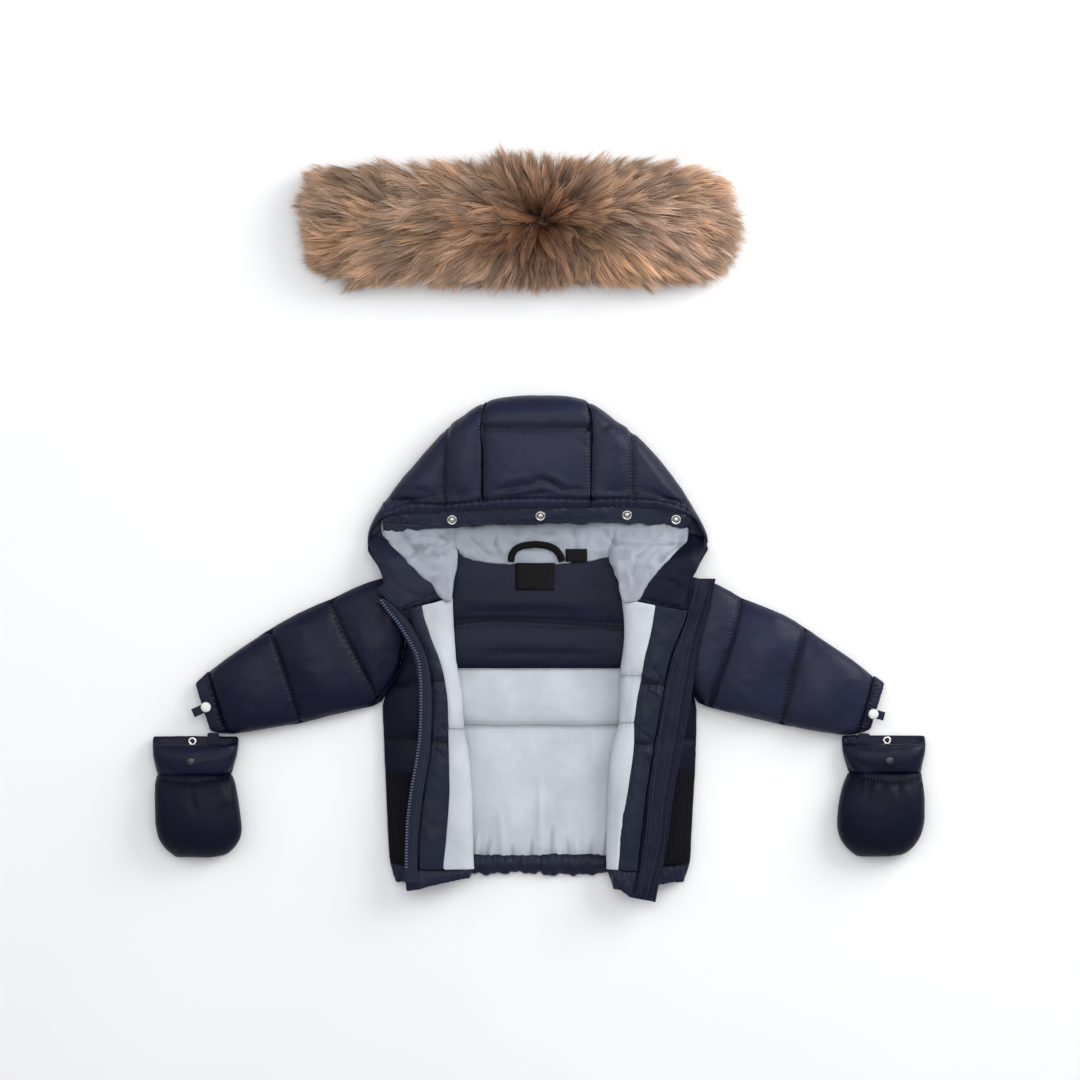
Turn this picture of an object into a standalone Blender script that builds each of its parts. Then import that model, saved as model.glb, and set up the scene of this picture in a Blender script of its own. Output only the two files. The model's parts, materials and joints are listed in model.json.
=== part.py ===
# A toddler's hooded down jacket, laid flat on its back with both fronts folded open like lapels, its mittens hung
# from the cuffs and its fur ruff taken off and laid above the hood.
# +X is the wearer's left side as laid out, +Y runs towards the hood, +Z up; the surface is Z = 0.
# Tables are in millimetres; the origin is the middle of the layout's outline on the surface.
import math

import bmesh
import bpy
import numpy as np
from mathutils import Matrix

# ---------------------------------------------------------------- driving sizes (mm)
MM = 0.001
SEAM_GAP = 0.3            # between two sewn pieces
LAY_GAP = 0.5             # between a piece and the panel it lies on
SHELL = 6.0               # down-filled wall of back and fronts
BACK_SHELL = 6.0
LINING = 1.5              # lining and facing cloth
LAP_LOW = 14.0            # underside of the front's lower layer
LAP_HIGH = 25.2           # underside of the folded-back lapel
SIDE_LOW = 6.4            # underside of the front at the side seam
SIDE_RISE = 26.0          # width over which the front rises from the side seam
FRONT_PUFF = 3.2          # rise of a baffle between two quilting lines
LINING_PUFF = 2.6
HOOD_WALL = 5.5
HOOD_HEIGHT = 44.0        # hood laid down, at its middle
HOOD_HALF = 196.0
HOOD_PUFF = 6.0
COLLAR_LIFT = 25.0        # the hood's front edges ride over shoulders and lapels by this much
HOOD_FOLD = 20.0          # radius of the fold at the crown
CASING = 16.0             # channel along the hood's face edge
SLEEVE_SLIT = 3.0         # gap left inside a flattened sleeve
SEAT = 0.42               # the slit's height in a flattened tube, as a part of the tube's height
SLEEVE_INSET = 0.09       # how far the slit stays in from the tube's edges, as a part of its width
CUFF_INSET = 0.10
BAND_INSET = 0.07
SLEEVE_SIDES = 16         # points round a sleeve
CUFF_SIDES = 28
MITTEN_SIDES = 20
ARMHOLE_GAP = 0.6
POCKET_MARK = 7.2         # row of the front where the pocket cloth starts
POCKET_INSET = 1.5
POCKET_ACROSS = 4         # the pocket cloth spans this many points from the side seam
RIB_CLOTH = 1.2
TAPE_CLOTH = 1.2          # zip tape and tabs
HEM_GATHERS = 30
HEM_HALF = 160.0
HEM_FALL = 19.5           # the back hem channel's width
FLAP_UNDER = 2.4          # the wind flap's underside above the lapel's
FLAP_CLOTH = 3.2          # its thickness along the stitched edges
FLAP_RISE = 3.0           # its top end rides up over the shoulder by this much
LOOP_WIDTH = 5.4          # hang loop's band
LOOP_THICK = 4.6          # the band stands on edge this high
LOOP_Z = 9.3
TAB_Z = 18.2              # tabs lie on the cuffs at this height
MOUTH_STEP = 8.5          # palm side of a mitten's mouth stands out this far past its front
SNAP_R = 5.6
FRONT_QUILTS = (-60.0, -112.0, -176.0, -238.0, -304.0, -374.0)


def table(columns, rows):
    """A short table: one named column for each word, one row for each section."""
    return {name: np.array([row[i] for row in rows], float) for i, name in enumerate(columns.split())}


def spread(tab, by, marks):
    """Rows of a table read at other values of one column, in straight runs."""
    order = np.argsort(tab[by])
    return {name: np.interp(marks, tab[by][order], tab[name][order]) for name in tab}


def ease(t):
    t = np.clip(t, 0.0, 1.0)
    return t * t * (3.0 - 2.0 * t)


def puff(at, lines, power=0.5):
    """0 on a quilting line, 1 half way between two of them."""
    lines = sorted(lines)
    for low, high in zip(lines, lines[1:]):
        if low <= at <= high:
            return math.sin(math.pi * (at - low) / (high - low)) ** power
    return 0.0


# ---------------------------------------------------------------- tables
# Front, worn-right side (on the left as laid out): side seam, fold of the lapel, lining seam, free edge.
FRONT_LEFT = table("row side_x side_y fold_x fold_y seam_x edge_x edge_y", [
    (0, -145, -86, -97.0, -84, -129, -160.0, -99),
    (1, -144, -108, -96.0, -108, -125, -154.5, -113),
    (2, -147, -130, -95.0, -130, -118, -144.5, -132),
    (3, -151, -150, -94.0, -148, -110, -137.0, -148),
    (4, -157, -170, -90.0, -168, -105, -132.6, -168),
    (5, -172, -194, -86.0, -192, -101, -131.5, -192),
    (6, -172, -224, -84.5, -224, -101, -132.0, -224),
    (7, -170.5, -256, -79.0, -256, -100, -134.8, -256),
    (8, -169, -295, -76.5, -295, -99, -140.8, -295),
    (9, -167, -344, -75.4, -344, -102, -146.9, -344),
    (10, -165, -374, -73.7, -381, -106, -147.0, -381),
])
FRONT_RIGHT = table("row side_x side_y fold_x fold_y seam_x edge_x edge_y", [
    (0, 145, -86, 92.0, -85, 127, 163.0, -98),
    (1, 144, -108, 94.6, -108, 124, 158.0, -112),
    (2, 147, -130, 95.0, -130, 120, 150.0, -131),
    (3, 151, -150, 92.0, -148, 115, 143.0, -148),
    (4, 157, -170, 89.0, -168, 113, 139.0, -168),
    (5, 172, -194, 90.5, -192, 107, 135.0, -192),
    (6, 173, -224, 89.0, -222, 104, 129.5, -222),
    (7, 172, -250, 80.0, -248, 104, 125.0, -248),
    (8, 170, -295, 76.5, -295, 97, 117.5, -295),
    (9, 167, -344, 75.8, -350, 89, 111.0, -350),
    (10, 166, -374, 75.4, -381, 87, 108.0, -383),
])
# Hem channels of the two fronts, read the same way.
HEM_LEFT = table("row side_x side_y fold_x fold_y edge_x edge_y", [
    (0, -164.6, -374.5, -73.7, -381.5, -147, -381.5),
    (1, -157, -395, -76.5, -391, -146, -405),
])
HEM_RIGHT = table("row side_x side_y fold_x fold_y edge_x edge_y", [
    (0, 165.6, -374.5, 75.4, -381.5, 108, -383.5),
    (1, 158, -395, 82, -402.5, 101, -411),
])
# Overlap flap beyond the wearer's left front edge: inner and outer edge.
FLAP = table("y in_x out_x", [
    (-411, 102.2, 127.5), (-383, 109.2, 134.5), (-350, 112.2, 141.4), (-295, 118.7, 147.2), (-248, 126.2, 157.0),
    (-222, 130.7, 161.7), (-192, 136.2, 167.0), (-168, 140.2, 170.0), (-148, 144.2, 172.5), (-131, 151.2, 176.0),
    (-112, 159.2, 181.5), (-98, 164.2, 186.0), (-84, 166.5, 189.0), (-62, 170.0, 193.0),
])
# Zip on the left: tooth side of the tape and its sewn side.
ZIP_LEFT = table("y edge_x sewn_x", [
    (-396, -148.0, -134.0), (-344, -147.5, -133.5), (-309, -144.0, -130.0), (-269.5, -137.5, -123.5),
    (-244, -133.5, -119.5), (-219, -132.5, -118.5), (-193.6, -132.0, -118.0), (-168, -133.5, -119.5),
    (-143, -138.5, -124.5), (-110, -157.5, -142.5), (-96, -168.0, -155.5), (-84, -180.5, -169.0),
])
# Back: outline from the hem up, half width at each height.
BACK = table("y half", [
    (-366, 163.5), (-344, 166.5), (-295, 168.5), (-250, 170.5), (-215, 172.5), (-197, 173.0), (-184, 162), (-168, 155),
    (-146, 149), (-120, 145.5), (-90, 144.5), (-66, 148),
])
# Sleeve, from armhole to cuff: top and bottom edge of each section, its height and how full it is.
SLEEVE_LEFT = table("row top_x top_y low_x low_y height", [
    (0, -150, -56, -174.5, -197.0, 18),
    (1, -192, -67, -178.5, -199.8, 26),
    (2, -230.5, -85.5, -183.5, -202.5, 23),
    (3, -247, -91, -198, -205, 31),
    (4, -264, -99.5, -222, -210, 35),
    (5, -281, -108.5, -245, -216, 31),
    (6, -297.6, -118.5, -262.5, -221, 24),
    (7, -313, -126.5, -283, -224.5, 31),
    (8, -333, -140.5, -305, -228.5, 33),
    (9, -352, -154.5, -329.5, -233, 28),
    (10, -363.5, -164, -343.5, -232.5, 19),
])
SLEEVE_RIGHT = table("row top_x top_y low_x low_y height", [
    (0, 150, -56, 175, -199, 18),
    (1, 190, -66, 181, -201.3, 26),
    (2, 224.0, -84.5, 188, -203.7, 23),
    (3, 243, -91, 202, -206.5, 31),
    (4, 262, -99, 226, -212, 35),
    (5, 278, -107, 248, -217.5, 31),
    (6, 293.6, -117.0, 265.5, -222, 24),
    (7, 310, -126.5, 284, -226, 31),
    (8, 330, -140.5, 306, -230.5, 33),
    (9, 353, -156, 331, -234, 28),
    (10, 367.0, -169, 350.0, -232, 19),
])
ARMHOLE = table("part x y", [
    (0.0, 150.0, -56), (0.2, 145.6, -88), (0.4, 146.0, -118), (0.6, 149.5, -146), (0.8, 157.0, -171), (1.0, 174.0, -197.5),
])
# Elastic cuffs: edge towards the sleeve, edge towards the hand.
CUFF_LEFT = table("row top_x top_y low_x low_y height", [
    (0, -364.0, -164.5, -344.0, -232.8, 18.5), (1, -371, -171.5, -353.5, -232, 17), (2, -378.4, -178.4, -362, -229.8, 15)])
CUFF_RIGHT = table("row top_x top_y low_x low_y height", [
    (0, 367.5, -169.5, 350.5, -232.3, 18.5), (1, 373.5, -173.5, 357.5, -230.5, 17), (2, 379.3, -177.6, 364, -228, 15)])
# Mittens: rows down from the mouth, left and right edge as laid out, and height.
BAND_LEFT = table("y left_x right_x height", [
    (-244.5, -425.5, -331, 24), (-254, -425.5, -332, 28), (-264, -424.0, -335, 30), (-277, -420.5, -339, 27)])
MITTEN_LEFT = table("y left_x right_x height", [
    (-277.4, -420.5, -339, 27), (-286, -422.5, -335, 34), (-300, -423, -332.5, 38), (-318, -422.5, -329.5, 40),
    (-333, -421.5, -327.5, 39), (-345, -418, -330, 36), (-356, -411, -338.5, 29), (-364, -400, -350, 20)])
BAND_RIGHT = table("y left_x right_x height", [
    (-243.5, 332.5, 424.5, 24), (-253, 332.5, 424.5, 28), (-263, 336.0, 421.5, 30), (-275, 340, 420, 27)])
MITTEN_RIGHT = table("y left_x right_x height", [
    (-275.4, 340, 420, 27), (-285, 335, 421, 34), (-299, 331, 423, 38), (-317, 328, 423.5, 40),
    (-332, 327, 422, 39), (-344, 331, 417, 36), (-355, 339, 410, 29), (-363, 350, 398, 20)])
# Hood, a section every few centimetres across: crown, face edge and lower edge.
HOOD = table("x crown face low", [
    (-189.0, -14, -24, -31), (-186.5, -4, -13, -36), (-180, 8, -2, -45), (-172.5, 19.5, 4.4, -57), (-168.0, 25, 5.5, -86),
    (-159, 38, 7, -98.0), (-145, 56, 8, -94.0), (-129, 74, 9, -89.6), (-105, 101, 10.2, -83.4), (-98, 108.5, 10.5, -83.2),
    (-92, 114.5, 10.7, -48), (-89, 117, 10.8, -33), (-78, 125.5, 11.5, -38.5), (-62.5, 132.5, 12.5, -43), (-45, 136.5, 14, -45.3),
    (-25, 138.5, 14.5, -45.5), (0, 139.5, 14.8, -45.3), (25, 138.5, 15, -44.6), (45, 136, 15.2, -43.5),
    (56.5, 133.5, 15.5, -42.5), (70, 126.5, 16, -40), (77, 120.5, 16, -37), (82, 115, 16, -46), (87, 111, 16, -64),
    (92, 107, 16, -84.0), (103, 99, 15.5, -85.0), (127, 76, 14, -90.0), (143, 55, 12, -93.3), (158, 35, 9, -96.3),
    (161.5, 29, 8, -95.0), (164.5, 24, 6.5, -64), (168.5, 17, 4.5, -60), (172.5, 10, 1, -52), (177, 3, -5, -44),
    (181, -5, -13, -36), (184.5, -14, -23, -31),
])
HOOD_SEAMS = (-62.5, 56.5)          # centre panel between these
HOOD_LINES = (-105.0, 103.0)        # vertical quilting of the side panels
CENTRE_LINE = 103.0                 # cross quilting of the centre panel
CASING_LINE = 25.0                  # stitching above the face channel, in front of the crown
# Collar facing down each side of the face opening: outer edge, inner edge.
COLLAR_LEFT = table("row out_x out_y in_x in_y", [
    (0, -186.0, -17, -172.5, -7), (1, -186.3, -27, -168.5, -20), (2, -181.5, -40, -158, -32), (3, -175.0, -50, -147, -42),
    (4, -169.5, -60, -133, -54), (5, -168.5, -65, -121, -65), (6, -179.0, -75.5, -110.6, -74.8),
    (7, -166.0, -86.5, -129.5, -84.5), (8, -155.0, -94.5, -150, -93.0)])
COLLAR_RIGHT = table("row out_x out_y in_x in_y", [
    (0, 181.5, -17, 164.0, -12), (1, 181.5, -27, 162.5, -23), (2, 177.0, -40, 150, -33), (3, 171.5, -52, 139, -43),
    (4, 168.0, -59, 126, -56), (5, 165.5, -66, 116, -69), (6, 163.5, -76, 108.4, -81.4), (7, 162.0, -86, 127, -88.0),
    (8, 160.0, -92.5, 154, -92.6)])
# Lining inside the hood where it shows: its lower boundary.
HOOD_LINING = table("x low", [
    (-171.5, -8), (-168, -19), (-158, -31), (-147, -41), (-133, -53), (-121, -64), (-110.2, -74), (-104, -78.8), (-98.5, -82.6),
    (-92.3, -47), (-89, -32), (-78, -37.5), (-62.5, -42), (-45, -44.3), (-25, -44.5), (0, -44.3),
    (25, -43.6), (45, -42.5),
    (56.5, -41.5), (70, -39), (77, -36), (82, -45), (87, -63), (92.5, -83.2), (100, -81.5), (107.5, -80.2), (116, -68), (126, -55),
    (139, -42), (150, -32), (161.5, -22), (163, -12)])
# Fur ruff, laid apart: upper and lower edge across its length.
FUR = table("x high low", [
    (-267, 352, 338), (-257, 386, 287), (-244, 390, 268), (-231, 392, 260), (-210, 388, 252), (-186, 399, 256),
    (-160, 403, 253), (-130, 405, 256), (-100, 400, 257), (-60, 408, 256), (-20, 410, 254), (10, 407, 254), (45, 405, 261),
    (72, 413, 256), (100, 404, 260), (128, 404, 252), (156, 402, 261), (178, 400, 258), (191, 398, 268), (204, 380, 274),
    (217, 342, 298), (224, 330, 312)])
FUR_HEIGHT = 62.0

# ---------------------------------------------------------------- colours
PALETTE = {
    "shell_navy": ((0.020, 0.024, 0.050), 0.42, 0.0),
    "inner_navy": ((0.018, 0.022, 0.042), 0.45, 0.0),
    "lining_blue": ((0.60, 0.65, 0.72), 0.75, 0.0),
    "rib_black": ((0.008, 0.008, 0.012), 0.9, 0.0),
    "label_black": ((0.010, 0.010, 0.011), 0.8, 0.0),
    "tape_navy": ((0.022, 0.027, 0.050), 0.7, 0.0),
    "snap_metal": ((0.62, 0.60, 0.57), 0.25, 1.0),
    "snap_white": ((0.85, 0.85, 0.83), 0.4, 0.0),
    "snap_navy": ((0.012, 0.014, 0.026), 0.35, 0.0),
    "fur_brown": ((0.27, 0.15, 0.10), 0.95, 0.0),
}


# ---------------------------------------------------------------- scene and helpers
for old in list(bpy.data.objects):
    bpy.data.objects.remove(old, do_unlink=True)

jacket = bpy.data.collections.new("down_jacket")
bpy.context.scene.collection.children.link(jacket)


def finish(name, colour, mesh_data):
    """A bmesh in millimetres becomes a named object in metres with its material."""
    bmesh.ops.recalc_face_normals(mesh_data, faces=mesh_data.faces)
    bmesh.ops.scale(mesh_data, vec=(MM, MM, MM), verts=mesh_data.verts)
    mesh = bpy.data.meshes.new(name)
    mesh_data.to_mesh(mesh)
    mesh_data.free()
    rgb, rough, metal = PALETTE[colour]
    paint = bpy.data.materials.get(name + "_finish") or bpy.data.materials.new(name + "_finish")
    paint.use_nodes = True
    node = paint.node_tree.nodes["Principled BSDF"]
    node.inputs["Base Color"].default_value = (*rgb, 1.0)
    node.inputs["Roughness"].default_value = rough
    node.inputs["Metallic"].default_value = metal
    mesh.materials.append(paint)
    mesh.shade_smooth()
    piece = bpy.data.objects.new(name, mesh)
    jacket.objects.link(piece)
    return piece


def skin(sheet, grid, wrap):
    """Quads between neighbouring rows of points."""
    across = len(grid[0])
    for row, nxt in zip(grid, grid[1:]):
        for j in range(across if wrap else across - 1):
            k = (j + 1) % across
            sheet.faces.new((row[j], row[k], nxt[k], nxt[j]))


def wall(name, colour, outer, inner, wrap=False):
    """A closed wall between two grids of points: a strip, or a tube when the rows wrap round."""
    sheet = bmesh.new()
    out = [[sheet.verts.new(p) for p in row] for row in outer]
    ins = [[sheet.verts.new(p) for p in row] for row in inner]
    skin(sheet, out, wrap)
    skin(sheet, ins, wrap)
    skin(sheet, [out[0], ins[0]], wrap)
    skin(sheet, [out[-1], ins[-1]], wrap)
    if not wrap:
        skin(sheet, [[row[0] for row in out], [row[0] for row in ins]], False)
        skin(sheet, [[row[-1] for row in out], [row[-1] for row in ins]], False)
    return finish(name, colour, sheet)


def end_cap(sheet, ring):
    """Closes a ring with a fan to its middle."""
    middle = sheet.verts.new(np.mean([v.co[:] for v in ring], axis=0))
    for a, b in zip(ring, ring[1:] + ring[:1]):
        sheet.faces.new((a, b, middle))


def solid(name, colour, rings):
    sheet = bmesh.new()
    rows = [[sheet.verts.new(p) for p in ring] for ring in rings]
    skin(sheet, rows, True)
    end_cap(sheet, rows[0])
    end_cap(sheet, rows[-1])
    return finish(name, colour, sheet)


def pouch(name, colour, outer, inner):
    """A tube open at its first ring and closed at its last, inside and out."""
    sheet = bmesh.new()
    out = [[sheet.verts.new(p) for p in ring] for ring in outer]
    ins = [[sheet.verts.new(p) for p in ring] for ring in inner]
    skin(sheet, out, True)
    skin(sheet, ins, True)
    skin(sheet, [out[0], ins[0]], True)
    end_cap(sheet, out[-1])
    end_cap(sheet, ins[-1])
    return finish(name, colour, sheet)


def disc(name, colour, centre, radius, height, rim=0.0, sides=16, tilt=0.0):
    """A round snap part: a short cylinder with a chamfered edge, leaning towards -Y by tilt."""
    sheet = bmesh.new()
    bmesh.ops.create_cone(sheet, cap_ends=True, segments=sides, radius1=radius, radius2=radius - rim, depth=height)
    bmesh.ops.translate(sheet, verts=sheet.verts, vec=(0, 0, height / 2))
    bmesh.ops.rotate(sheet, verts=sheet.verts, cent=(0, 0, 0), matrix=Matrix.Rotation(tilt, 3, "X"))
    bmesh.ops.translate(sheet, verts=sheet.verts, vec=centre)
    return finish(name, colour, sheet)


# ---------------------------------------------------------------- back panel and its linings
def back_half(y):
    return float(np.interp(y, BACK["y"], BACK["half"]))


# Back neck and shoulders, read along the upper edge of the back.
NECK = table("x y", [
    (-148, -66), (-118, -58), (-90, -50), (-78, -39.4), (-62.5, -43.6), (-45, -46), (-22, -46.4), (0, -46.2), (25, -45.4),
    (45, -44.2), (56.5, -43.2), (70, -41.2), (77, -42), (90, -52), (118, -58), (148, -66),
])


def make_back():
    marks = [-366, -280, -215, -197, -184, -168, -146, -120, -90]
    cross = NECK["x"] / 148.0
    rows_top, rows_low = [], []
    for y in marks:
        half = back_half(y)
        rows_top.append([(c * half, y, BACK_SHELL) for c in cross])
        rows_low.append([(c * half, y, 0.0) for c in cross])
    rows_top.append([(x, y, BACK_SHELL) for x, y in zip(NECK["x"], NECK["y"])])
    rows_low.append([(x, y, 0.0) for x, y in zip(NECK["x"], NECK["y"])])
    wall("back_shell", "shell_navy", rows_top, rows_low)


LINING_HALF = 118.0
NECK_HALF = 75.0
YOKE_SEAM = -161.0


def make_back_linings():
    base = BACK_SHELL + LAY_GAP
    cross = np.linspace(-1, 1, 11)

    def top(x, y, lines, rise):
        edge = ease((LINING_HALF - abs(x)) / 20.0)
        return base + LINING + rise * puff(y, lines) * (0.35 + 0.65 * edge)

    upper_lines = (YOKE_SEAM, -112.0, -46.0)
    marks = [YOKE_SEAM + 0.2, -150, -132, -118, -112, -106, -92, -72, -56]
    out, low = [], []
    for y in marks:
        out.append([(c * LINING_HALF, y, top(c * LINING_HALF, y, upper_lines, LINING_PUFF)) for c in cross])
        low.append([(c * LINING_HALF, y, base) for c in cross])
    neck_x = [c * NECK_HALF for c in cross]
    neck_y = [float(np.interp(x, NECK["x"], NECK["y"])) - 0.8 for x in neck_x]
    out.append([(x, y, base + LINING) for x, y in zip(neck_x, neck_y)])
    low.append([(x, y, base) for x, y in zip(neck_x, neck_y)])
    wall("lining_back_upper", "inner_navy", out, low)

    lower_lines = (-366.0, -224.0, YOKE_SEAM)
    marks = [-365.6, -352, -322, -285, -250, -231, -224, -217, -200, -180, -168, YOKE_SEAM - 0.2]
    cross = np.linspace(-1, 1, 16)
    out, low = [], []
    for y in marks:
        row = []
        for c in cross:
            x = c * LINING_HALF
            # soft upright folds run up from the gathered hem and die out
            ripple = 0.9 * math.sin(x * 2 * math.pi / 47.0 + 0.9) * ease((-275.0 - y) / 80.0)
            row.append((x, y, top(x, y, lower_lines, LINING_PUFF) + ripple * (0.4 + 0.6 * ease((y + 366) / 8))))
        out.append(row)
        low.append([(c * LINING_HALF, y, base) for c in cross])
    wall("lining_back_lower", "lining_blue", out, low)


def make_hem_back():
    """The back hem, a channel drawn up by its elastic in small gathers."""
    count = HEM_GATHERS * 2 + 1
    out, low = [], []
    for part, rise in ((0.0, 0.6), (0.5, 1.0), (1.0, 0.5)):
        row, under = [], []
        for k in range(count):
            c = -1 + 2 * k / (count - 1)
            x = c * HEM_HALF
            crest = 1 if k % 2 else -1
            y0 = -366.6 + 0.4 * math.sin(x * 0.11) * (part == 0.0)
            y = y0 - part * (HEM_FALL + 1.2 * math.sin(x * 0.05)) - (1.4 * crest if part == 1.0 else 0.0)
            full = 10.6 - 4.8 * ease((abs(x) - 125.0) / 30.0)
            row.append((x, y, full * rise + 0.55 * crest * (0 < part) + 0.2))
            under.append((x, y, 0.0))
        out.append(row)
        low.append(under)
    wall("hem_back", "shell_navy", out, low)


# ---------------------------------------------------------------- fronts, folded back
BEND = (-90.0, -45.0, 0.0, 45.0, 90.0)
R_OUT = (LAP_HIGH + SHELL - LAP_LOW) / 2
R_IN = R_OUT - SHELL
BEND_Z = LAP_LOW + R_OUT
LOWER_STEPS = 7
UPPER_STEPS = 4


def front_rows(tab, marks):
    return [{k: float(np.interp(m, tab["row"], tab[k])) for k in tab} for m in marks]


def front_section(row, out, quilts):
    """Outline of one cut across a front: shell side (inside the fold) and lining side, from side seam to free edge."""
    shell, lining = [], []
    centre_x = row["fold_x"] + out * R_OUT
    for k in range(LOWER_STEPS):
        part = k / LOWER_STEPS
        x = row["side_x"] + (centre_x - row["side_x"]) * part
        y = row["side_y"] + (row["fold_y"] - row["side_y"]) * part
        inset = abs(x - row["side_x"])
        low = SIDE_LOW + (LAP_LOW - SIDE_LOW) * float(ease(inset / SIDE_RISE))
        thick = (SHELL - 2.0) + 2.0 * float(ease(inset / 8.0))
        rise = FRONT_PUFF * puff(y, quilts) * float(ease(inset / 14.0)) * (1.0 if part < 0.8 else 0.4)
        lining.append((x, y, low))
        shell.append((x, y, low + thick + rise))
    for angle in BEND:
        a = math.radians(angle)
        lining.append((centre_x - out * R_OUT * math.cos(a), row["fold_y"], BEND_Z + R_OUT * math.sin(a)))
        shell.append((centre_x - out * R_IN * math.cos(a), row["fold_y"], BEND_Z + R_IN * math.sin(a)))
    for k in range(1, UPPER_STEPS + 1):
        part = k / UPPER_STEPS
        x = centre_x + (row["edge_x"] - centre_x) * part
        y = row["fold_y"] + (row["edge_y"] - row["fold_y"]) * part
        thin = 0.9 if k == UPPER_STEPS else 0.0
        lining.append((x, y, LAP_HIGH + SHELL - thin))
        shell.append((x, y, LAP_HIGH + thin))
    return shell, lining


FRONT_MARKS = [0, 0.5, 1, 2, 3, 4, 4.6, 5, 5.8, 6.35, 7, 7.5, 8, 8.6, 9.2, 10]


def make_front(name, tab, out):
    shell, lining = [], []
    for row in front_rows(tab, FRONT_MARKS):
        a, b = front_section(row, out, FRONT_QUILTS)
        shell.append(a)
        lining.append(b)
    wall(name, "shell_navy", shell, lining)


def make_front_hem(name, tab, out):
    """Gathered channel along the foot of a folded front."""
    rows = front_rows(tab, [0, 0.3, 0.7, 1])
    shell, lining = [], []
    for i, row in enumerate(rows):
        a, b = front_section(row, out, (0, 1))
        swell = (0.0, 1.0, 1.0, 0.0)[i]
        top_a, top_b = [], []
        for j, (p, q) in enumerate(zip(a, b)):
            crest = 0.8 * (1 if j % 2 else -1) * swell
            upper = j >= LOWER_STEPS + len(BEND) - 1
            if upper:
                top_a.append((p[0], p[1], p[2] + 0.3))
                top_b.append((q[0], q[1], q[2] + 1.6 * swell + crest))
            elif j < LOWER_STEPS:
                top_a.append((p[0], p[1], p[2] + (0.6 * swell + 0.6 * crest if j else 0.0)))
                top_b.append(q)
            else:
                top_a.append(p)
                top_b.append(q)
        shell.append(top_a)
        lining.append(top_b)
    wall(name, "shell_navy", shell, lining)


LAP_TOP = LAP_HIGH + SHELL


def lap_strip(rows, out, x_from, x_to, steps, lines, rise, around=False, z0=LAP_TOP + LAY_GAP, thick=LINING):
    """Cloth lying on a lapel between two of its lines, its face raised between the quilting lines."""
    outer, inner = [], []
    for row in rows:
        centre_x = row["fold_x"] + out * R_OUT
        top, low = [], []
        swell = puff(row["fold_y"], lines)
        if around:
            for angle in BEND[1:-1]:
                a = math.radians(angle)
                for radius, side in ((R_OUT + LAY_GAP, low), (R_OUT + LAY_GAP + thick, top)):
                    side.append((centre_x - out * radius * math.cos(a), row["fold_y"], BEND_Z + radius * math.sin(a)))
        a_x = centre_x if x_from is None else row[x_from] + out * SEAM_GAP
        b_x = row[x_to] if x_to in row else a_x
        for k in range(steps + 1):
            part = k / steps
            x = a_x + (b_x - a_x) * part
            along = (x - row["fold_x"]) / (row["edge_x"] - row["fold_x"])
            y = row["fold_y"] + (row["edge_y"] - row["fold_y"]) * along
            cross = math.sin(math.pi * min(1.0, max(0.0, part))) ** 0.6
            low.append((x, y, z0))
            top.append((x, y, z0 + thick + rise * swell * cross))
        outer.append(top)
        inner.append(low)
    return outer, inner


def make_lapel_cloth(side, tab, out, tape):
    rows = front_rows(tab, FRONT_MARKS)
    for row in rows:
        row["tape_x"] = row["edge_x"] - out * tape
    lines = (-60.0, -112.0, -176.0, -241.0, -306.0, -381.0)
    outer, inner = lap_strip(rows, out, None, "seam_x", 2, lines, 1.6, around=True)
    wall("lining_front_" + side, "lining_blue", outer, inner)
    outer, inner = lap_strip(rows, out, "seam_x", "tape_x", 4, lines, 2.6)
    wall("facing_" + side, "inner_navy", outer, inner)


def make_zip_left():
    marks = [-396, -370, -344, -318, -292, -269.5, -244, -219, -193.6, -168, -155, -143, -126, -110, -103, -96, -90, -84]
    rows = spread(ZIP_LEFT, "y", marks)
    outer, inner = [], []
    for y, a, b in zip(rows["y"], rows["edge_x"], rows["sewn_x"]):
        lift = 0.8 + 1.6 * float(ease((y + 104.0) / 6.0)) + 2.8 * float(ease((-372.0 - y) / 7.0))
        z0 = LAP_TOP + lift
        outer.append([(a, y, z0 + TAPE_CLOTH), ((a + b) / 2, y, z0 + TAPE_CLOTH + 0.3), (b, y, z0 + TAPE_CLOTH)])
        inner.append([(a, y, z0), ((a + b) / 2, y, z0), (b, y, z0)])
    wall("zip_tape_left", "tape_navy", outer, inner)


def make_flap():
    """Padded overlap flap with its long edges stitched flat, and the zip tape it hides."""
    marks = [-411, -398, -383, -350, -322, -295, -270, -248, -222, -192, -168, -148, -131, -112, -98, -84, -72, -62]
    rows = spread(FLAP, "y", marks)
    outer, inner = [], []
    for y, a, b in zip(rows["y"], rows["in_x"], rows["out_x"]):
        swell = (0, 0.7, 1.9, 2.2, 1.9, 0.7, 0)
        end = min(1.0, (y + 411) / 10.0, (-60 - y) / 10.0)
        z0 = LAP_HIGH + FLAP_UNDER
        lift = FLAP_RISE * float(ease((y + 112.0) / 26.0))
        top, low = [], []
        for k, s in enumerate(swell):
            part = k / 6
            x = a + (b - a) * part
            tip = y - 6.0 * part * float(ease((-395.0 - y) / 16.0))
            top.append((x, tip, z0 + lift + FLAP_CLOTH + s * max(0.0, end)))
            low.append((x, tip, z0 + lift))
        outer.append(top)
        inner.append(low)
    wall("placket", "shell_navy", outer, inner)
    outer, inner = [], []
    for y, a in zip(rows["y"][2:15], rows["in_x"][2:15]):
        z0 = LAP_HIGH + 0.6
        outer.append([(a - 0.7, y, z0 + TAPE_CLOTH), (a + 7.0, y, z0 + TAPE_CLOTH)])
        inner.append([(a - 0.7, y, z0), (a + 7.0, y, z0)])
    wall("zip_tape_right", "tape_navy", outer, inner)


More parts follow.
